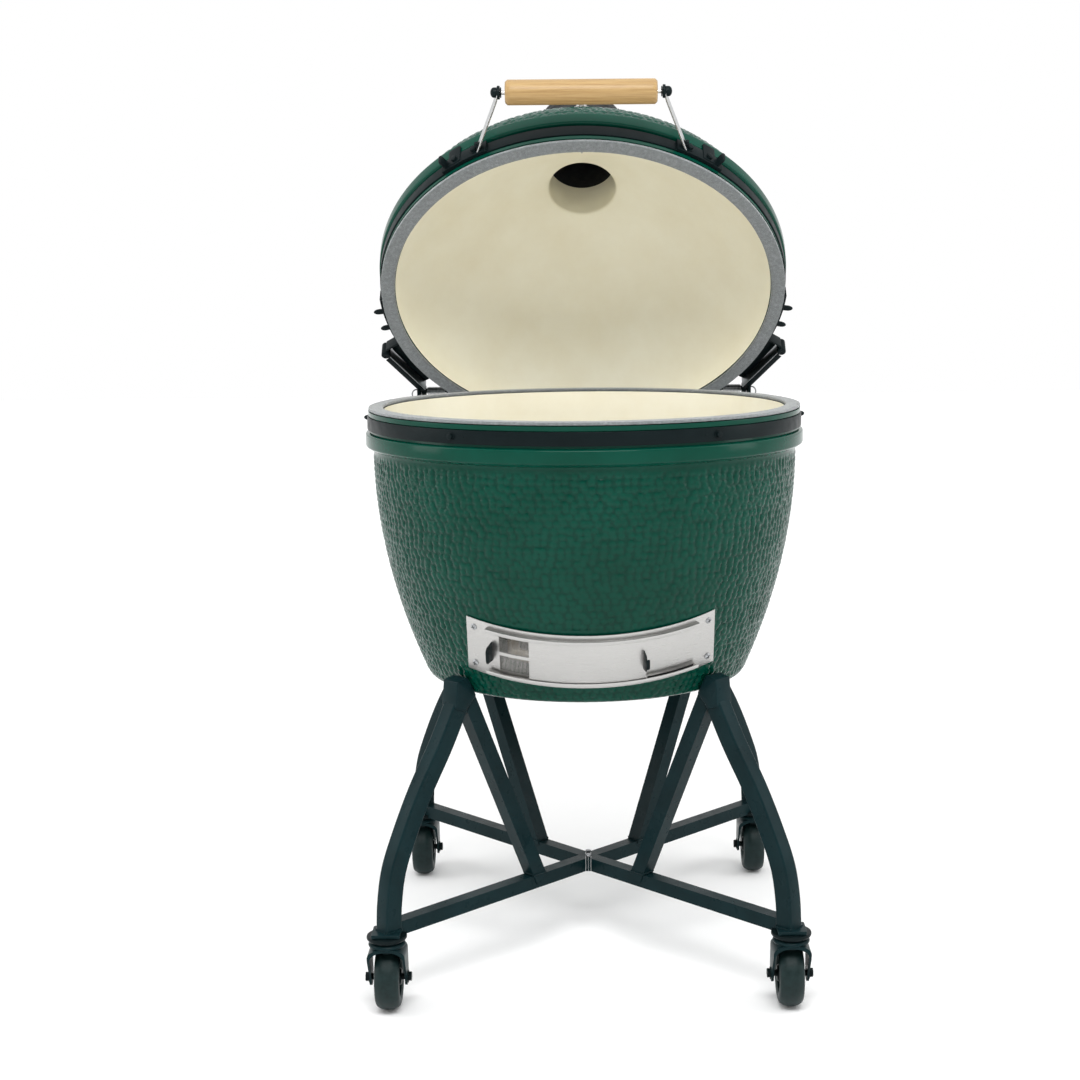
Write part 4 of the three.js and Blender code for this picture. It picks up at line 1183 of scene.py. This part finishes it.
def stand():
    diagonal = math.sqrt(0.5)
    for corner, (sx, sy) in CORNERS.items():
        out = Vector((sx * diagonal, sy * diagonal, 0))
        normal = out.cross(Vector((0, 0, 1)))
        path = [Vector((sx * s, sy * s, z)) for s, z in
                [(q.x / math.sqrt(2), q.y) for q in spline([(s * math.sqrt(2), z) for s, z in LEG_LINE], 8)]]
        tube = sweep(path, rectangle(TUBE_W, TUBE_D, 3.2, 4), up=normal)
        foot = prism(rectangle(44, 44, 3), 5.6, shift(sx * FOOT, sy * FOOT, 124.3 + 2.9), 0.8)
        seat = fillet([(184, 470), (200, 448), (214, 456), (211, 497), (196, 501)], 2)
        basis = Matrix((out, Vector((0, 0, 1)), normal)).transposed().to_4x4()
        cap = prism([(s * math.sqrt(2), z) for s, z in seat], 34, basis, 1.8)
        leg_weld = tube_weld((sx * 306, sy * 306, 130.6), (0, 0, 1), TUBE_W, TUBE_D, out)
        put(f"leg_{corner}_tube", [tube, foot, cap, leg_weld], GROUND, "root",
                             STAND, f"leg_{corner}")
        welds = []
        rail_end = Vector((sx * 295, sy * 295, RAIL_Z))
        welds.append(tube_weld(rail_end, out, RAIL_SIZE, RAIL_SIZE, (0, 0, 1)))
        strut_dir = Vector((sx * 101, sy * 101, 315)).normalized()
        strut_foot = Vector((sx * 88, sy * 88, RAIL_Z + RAIL_SIZE / 2 + 1))
        welds.append(tube_weld(strut_foot + strut_dir * 1.5, (0, 0, 1), 25, 28, (sx, sy, 0), 0.2))
        put(f"leg_{corner}_welds", welds, GROUND, "root", STAND, smooth=60)
    bolts = [moved(hex_bolt(8, 4, 0), shift(0, y, RAIL_Z + RAIL_SIZE / 2)) for y in (-11, 11)]
    put("hub_bolts", bolts, GROUND, "root", ZINC)
    for name in NODES:
        if name.startswith(("rail_", "strut_", "hub_plate_", "cradle_bar_")):
            node = NODES[name]
            node.data.materials.clear()
            node.data.materials.append(STAND)
            bevel(node, 0.9 if name.startswith("hub") else 2.4, 3, 40)


# ---------- casters ----------

WHEEL_R = middle("caster_wheel_front_right").z / MM
FORK_HALF_W = 29
TRAIL = (middle("caster_wheel_front_right").y - middle("caster_stem_front_right").y) / MM


def wheel_mesh():
    tread = fillet([(30, -17), (36, -19.6, 2), (44, -18.4, 4), (50, -9, 7), (50, 9, 7), (44, 18.4, 4),
                    (36, 19.6, 2), (30, 17)], 1, 6)
    hub = fillet([(5.4, -20), (12, -20, 2), (14, -14, 3), (30, -12.5, 3), (30.4, 12.5, 3), (14, 14, 3),
                  (12, 20, 2), (5.4, 20)], 1, 4)
    about = turn("Y", 90)
    return moved(ring_mesh(tread, 96), about), moved(ring_mesh(hub, 72), about)


def fork_mesh():
    """A pressed housing: an arch across the wheel, trimmed to a tapering cheek at the side."""
    w, t = FORK_HALF_W, 3.5
    arch = [(-w, 30), (-w, 100, 9), (-w + 12, 107.5, 8), (w - 12, 107.5, 8), (w, 100, 9), (w, 30)]
    inner = [(w - t, 30), (w - t, 95, 18), (w - t - 14, 103.5, 10), (-w + t + 14, 103.5, 10), (-w + t, 95, 18),
             (-w + t, 30)]
    front = fillet(arch + inner, 0, 8)
    stand_up = Matrix(((1, 0, 0, 0), (0, 0, -1, 0), (0, 1, 0, 0), (0, 0, 0, 1)))
    shell = prism(front, 130, stand_up, 0.02)
    side = fillet([(-26, 110), (26, 110), (27, 92, 12), (TRAIL + 15, 58, 8), (TRAIL + 11, 38, 10), (TRAIL - 11, 38, 10),
                   (TRAIL - 17, 58, 12), (-24, 90, 20)], 1, 7)
    profile = prism(side, 80, cross_plane(0), 0.02)
    holder = linked("fork", shell)
    carve(holder, profile, operation="INTERSECT")
    mesh = holder.data
    bpy.data.objects.remove(holder)
    return mesh


def casters():
    stem_outline = fillet([(0, 123.9), (30.5, 123.9), (31, 120, 1), (29, 117.2, 1.5), (24, 115.6, 1),
                           (24, 114.6, 0), (0, 114.6)], 0.8)
    crown_outline = fillet([(8, 114.2), (25.5, 114.2, 1.5), (28.6, 111, 2), (28, 108.4, 1),
                            (26.4, 107.6, 0.5), (26.4, 105.6, 0.5), (8, 105.6)], 0.8)
    fork = fork_mesh()
    for corner, (sx, sy) in CORNERS.items():
        at = GROUND @ shift(sx * FOOT * MM, sy * FOOT * MM, 0)
        stem = merge(ring_mesh(stem_outline, 64), cylinder("z", 7, 14, (0, 0, 109), 0.6),
                     moved(hex_bolt(16, 5, 11, 1.5), shift(0, 0, 101.5) @ turn("X", 180)))
        put(f"caster_stem_{corner}_turned", stem, at, "root", BLACK, f"caster_stem_{corner}")
        crown = ring_mesh(crown_outline, 64)
        axle = cylinder("x", 5, 2 * FORK_HALF_W + 2, (0, TRAIL, WHEEL_R), 0.5, 24)
        head = moved(hex_bolt(13, 5.5, 9.5, 1.5), shift(sx * FORK_HALF_W, TRAIL, WHEEL_R) @ turn("Y", 90 * sx))
        nut = moved(hex_bolt(13, 4.5, 9.5, 1.5), shift(-sx * FORK_HALF_W, TRAIL, WHEEL_R) @ turn("Y", -90 * sx))
        piece = put(f"caster_fork_{corner}_pressed", merge(fork.copy(), crown), at, f"caster_{corner}",
                             STAND, f"caster_fork_{corner}")
        bevel(piece, 0.7, 2, 40)
        put(f"caster_axle_{corner}", [axle, head, nut], at, f"caster_{corner}", BLACK)
        tread, hub = wheel_mesh()
        hub_place = at @ shift(0, TRAIL * MM, WHEEL_R * MM)
        put(f"caster_tread_{corner}", tread, hub_place, f"wheel_{corner}", RUBBER,
                     f"caster_wheel_{corner}")
        put(f"caster_hub_{corner}", hub, hub_place, f"wheel_{corner}", BLACK)
        if sy < 0:
            py, pz = 27, 96
            lever = fillet([(py, pz - 5, 1), (py + 3, pz + 5, 3), (py + 24, pz + 4, 8), (py + 41, pz - 2, 2), (py + 43, pz - 7, 1.5),
                            (py + 22, pz - 1.5, 6), (py + 7, pz - 1, 3)], 1.5, 6)
            pedal = prism(lever, 28, cross_plane(0), 1.2)
            grips = [prism(rectangle(1.6, 24, 0.6), 1.6, shift(0, py + k, pz + 3.2 - (k - 20) * 0.3) @ turn("Z", 90), 0.4)
                     for k in (24, 28, 32, 36)]
            put(f"brake_pedal_{corner}_moulded", [pedal, *grips], at, f"brake_{corner}",
                         BLACK, f"brake_pedal_{corner}")
    bpy.data.meshes.remove(fork)


# ---------- what the bowl holds ----------

def inside_parts():
    foot = -BOWL_DEPTH + WALL + 2.3
    top = -215
    cup = fillet([(100, foot), (190, foot), (236, top), (212, top), (168, foot + 45), (150, foot + 45), (150, foot + 30),
                  (100, foot + 30)], 5, 4)
    profile = [tuple(p) for p in resample(cup + cup[:1], 5)[:-1]]
    firebox = put("firebox_cast", ring_mesh(profile, 160), BOWL, "root", FIRECLAY,
                           "firebox", 50)
    mouth = prism(fillet(oblong(-120, -23, 30, 23), 8), 170,
                   Matrix(((1, 0, 0, 0), (0, 0, -1, -190), (0, 1, 0, foot + 53), (0, 0, 0, 1))), 0.1)
    carve(firebox, moved(mouth, BOWL @ TO_METRES))
    z0, z1 = -215 + 0.3, -88
    ring = fillet([(212, z0), (238, z0), (272, z1), (246, z1)], 5, 4)
    put("fire_ring_cast", ring_mesh(ring, 160), BOWL, "root", FIRECLAY, "fire_ring", 50)
    z = foot + 30.3
    slots = []
    for i in range(-5, 6):
        half = math.sqrt(128 ** 2 - (i * 22) ** 2)
        slots.append([(i * 22 + u, v) for u, v in rectangle(9, 2 * half, 4, 4)])
    grate = prism(circle(147, 96), 9, shift(0, 0, z + 4.8), 1.4, loops=slots)
    put("fire_grate_cast", grate, BOWL, "root", IRON, "fire_grate")
    wire_z = -88 + 3.8
    wires = [sweep([(u, v, wire_z) for u, v in circle(287, 144)], circle(3.4, 12), closed=True)]
    for x in np.arange(-270, 271, 15):
        half = math.sqrt(286 ** 2 - x ** 2)
        wires.append(sweep([(x, -half, wire_z), (x, half, wire_z)], circle(2.3, 10)))
    for y in (-130, 0, 130):
        half = math.sqrt(286 ** 2 - y ** 2)
        wires.append(sweep([(-half, y, wire_z - 3), (half, y, wire_z - 3)], circle(2.8, 10)))
    put("cooking_grid_wires", wires, BOWL, "root", ROD_STEEL, "cooking_grid", 60)


band_bolts()
draft_door()
draft_screen()
hinge_side("right", 1)
hinge_side("left", -1)
handle()
vent()
thermometer()
stand()
casters()
inside_parts()

# ---------- camera, lights and floor ----------

PHOTO_DISTANCE = 2.9219  # from the bowl's axis
PHOTO_HEIGHT = 1.1423
PHOTO_PITCH = math.radians(8.94)
PHOTO_ROLL = math.radians(-0.53)  # about the line of sight
PHOTO_LENS = 59.75
PHOTO_SHIFT_X = -0.042
FRONT_DIM = 0.12  # strength of the white world high up in front


def camera():
    data = bpy.data.cameras.new("camera")
    data.lens = PHOTO_LENS
    data.sensor_width = 36
    data.shift_x = PHOTO_SHIFT_X
    cam = linked("camera", data)
    tilt = Matrix.Rotation(math.pi / 2 - PHOTO_PITCH, 4, "X") @ Matrix.Rotation(PHOTO_ROLL, 4, "Z")
    cam.matrix_world = Matrix.Translation((0, AXIS_Y - PHOTO_DISTANCE, PHOTO_HEIGHT)) @ tilt
    bpy.context.scene.camera = cam


def area_light(name, location, target, size, power):
    data = bpy.data.lights.new(name, "AREA")
    data.shape = "RECTANGLE"
    data.size, data.size_y = size
    data.energy = power
    light = linked(name, data)
    light.location = location
    light.rotation_euler = (Vector(target) - Vector(location)).to_track_quat("-Z", "Y").to_euler()


def studio_world():
    """White all round, dimmer high up in front of the object so that its face keeps its depth of colour."""
    world = bpy.data.worlds.new("studio")
    bpy.context.scene.world = world
    world.use_nodes = True
    nodes, links = world.node_tree.nodes, world.node_tree.links
    split = nodes.new("ShaderNodeSeparateXYZ")
    links.new(nodes.new("ShaderNodeTexCoord").outputs["Generated"], split.inputs[0])

    def smooth(source, low, high, start, end):
        node = nodes.new("ShaderNodeMapRange")
        node.interpolation_type = "SMOOTHSTEP"
        links.new(source, node.inputs["Value"])
        for key, value in (("From Min", low), ("From Max", high), ("To Min", start), ("To Max", end)):
            node.inputs[key].default_value = value
        return node.outputs["Result"]

    both = nodes.new("ShaderNodeMath")
    both.operation = "MULTIPLY"
    links.new(smooth(split.outputs["Y"], -0.95, -0.1, 1.0, 0.0), both.inputs[0])
    links.new(smooth(split.outputs["Z"], 0.1, 0.45, 0.0, 1.0), both.inputs[1])
    background = nodes["Background"]
    links.new(smooth(both.outputs["Value"], 0.0, 1.0, 1.0, FRONT_DIM), background.inputs["Strength"])
    background.inputs["Color"].default_value = (1, 1, 1, 1)


def studio():
    centre = (0, 0, 0.75)
    area_light("key_left", (-2.6, -0.4, 1.9), centre, (1.0, 2.6), 22)
    area_light("key_right", (2.6, -0.4, 1.9), centre, (1.0, 2.6), 20)
    area_light("overhead", (0, -0.3, 3.4), centre, (3.0, 2.4), 20)
    area_light("front_high", (0.1, -2.3, 3.1), (0, 0.1, 0.95), (2.2, 1.0), 80)
    studio_world()
    mesh = bpy.data.meshes.new("floor")
    reach = 12
    mesh.from_pydata([(u, v, 0) for u, v in oblong(-reach, -reach, reach, reach)], [], [(0, 1, 2, 3)])
    floor = linked("floor", mesh)
    paint = Nodes("floor")
    paint.set(Base_Color=paint.ramp(paint.noise(400, 3), [(0.3, (0.93, 0.93, 0.93)), (0.7, (0.95, 0.95, 0.95))]))
    paint.set(Roughness=0.9, Emission_Color=(1, 1, 1, 1), Emission_Strength=paint.far(1.2, 3.5, 0.35))
    mesh.materials.append(paint.material)


camera()
studio()
bpy.context.scene.view_settings.view_transform = "Standard"
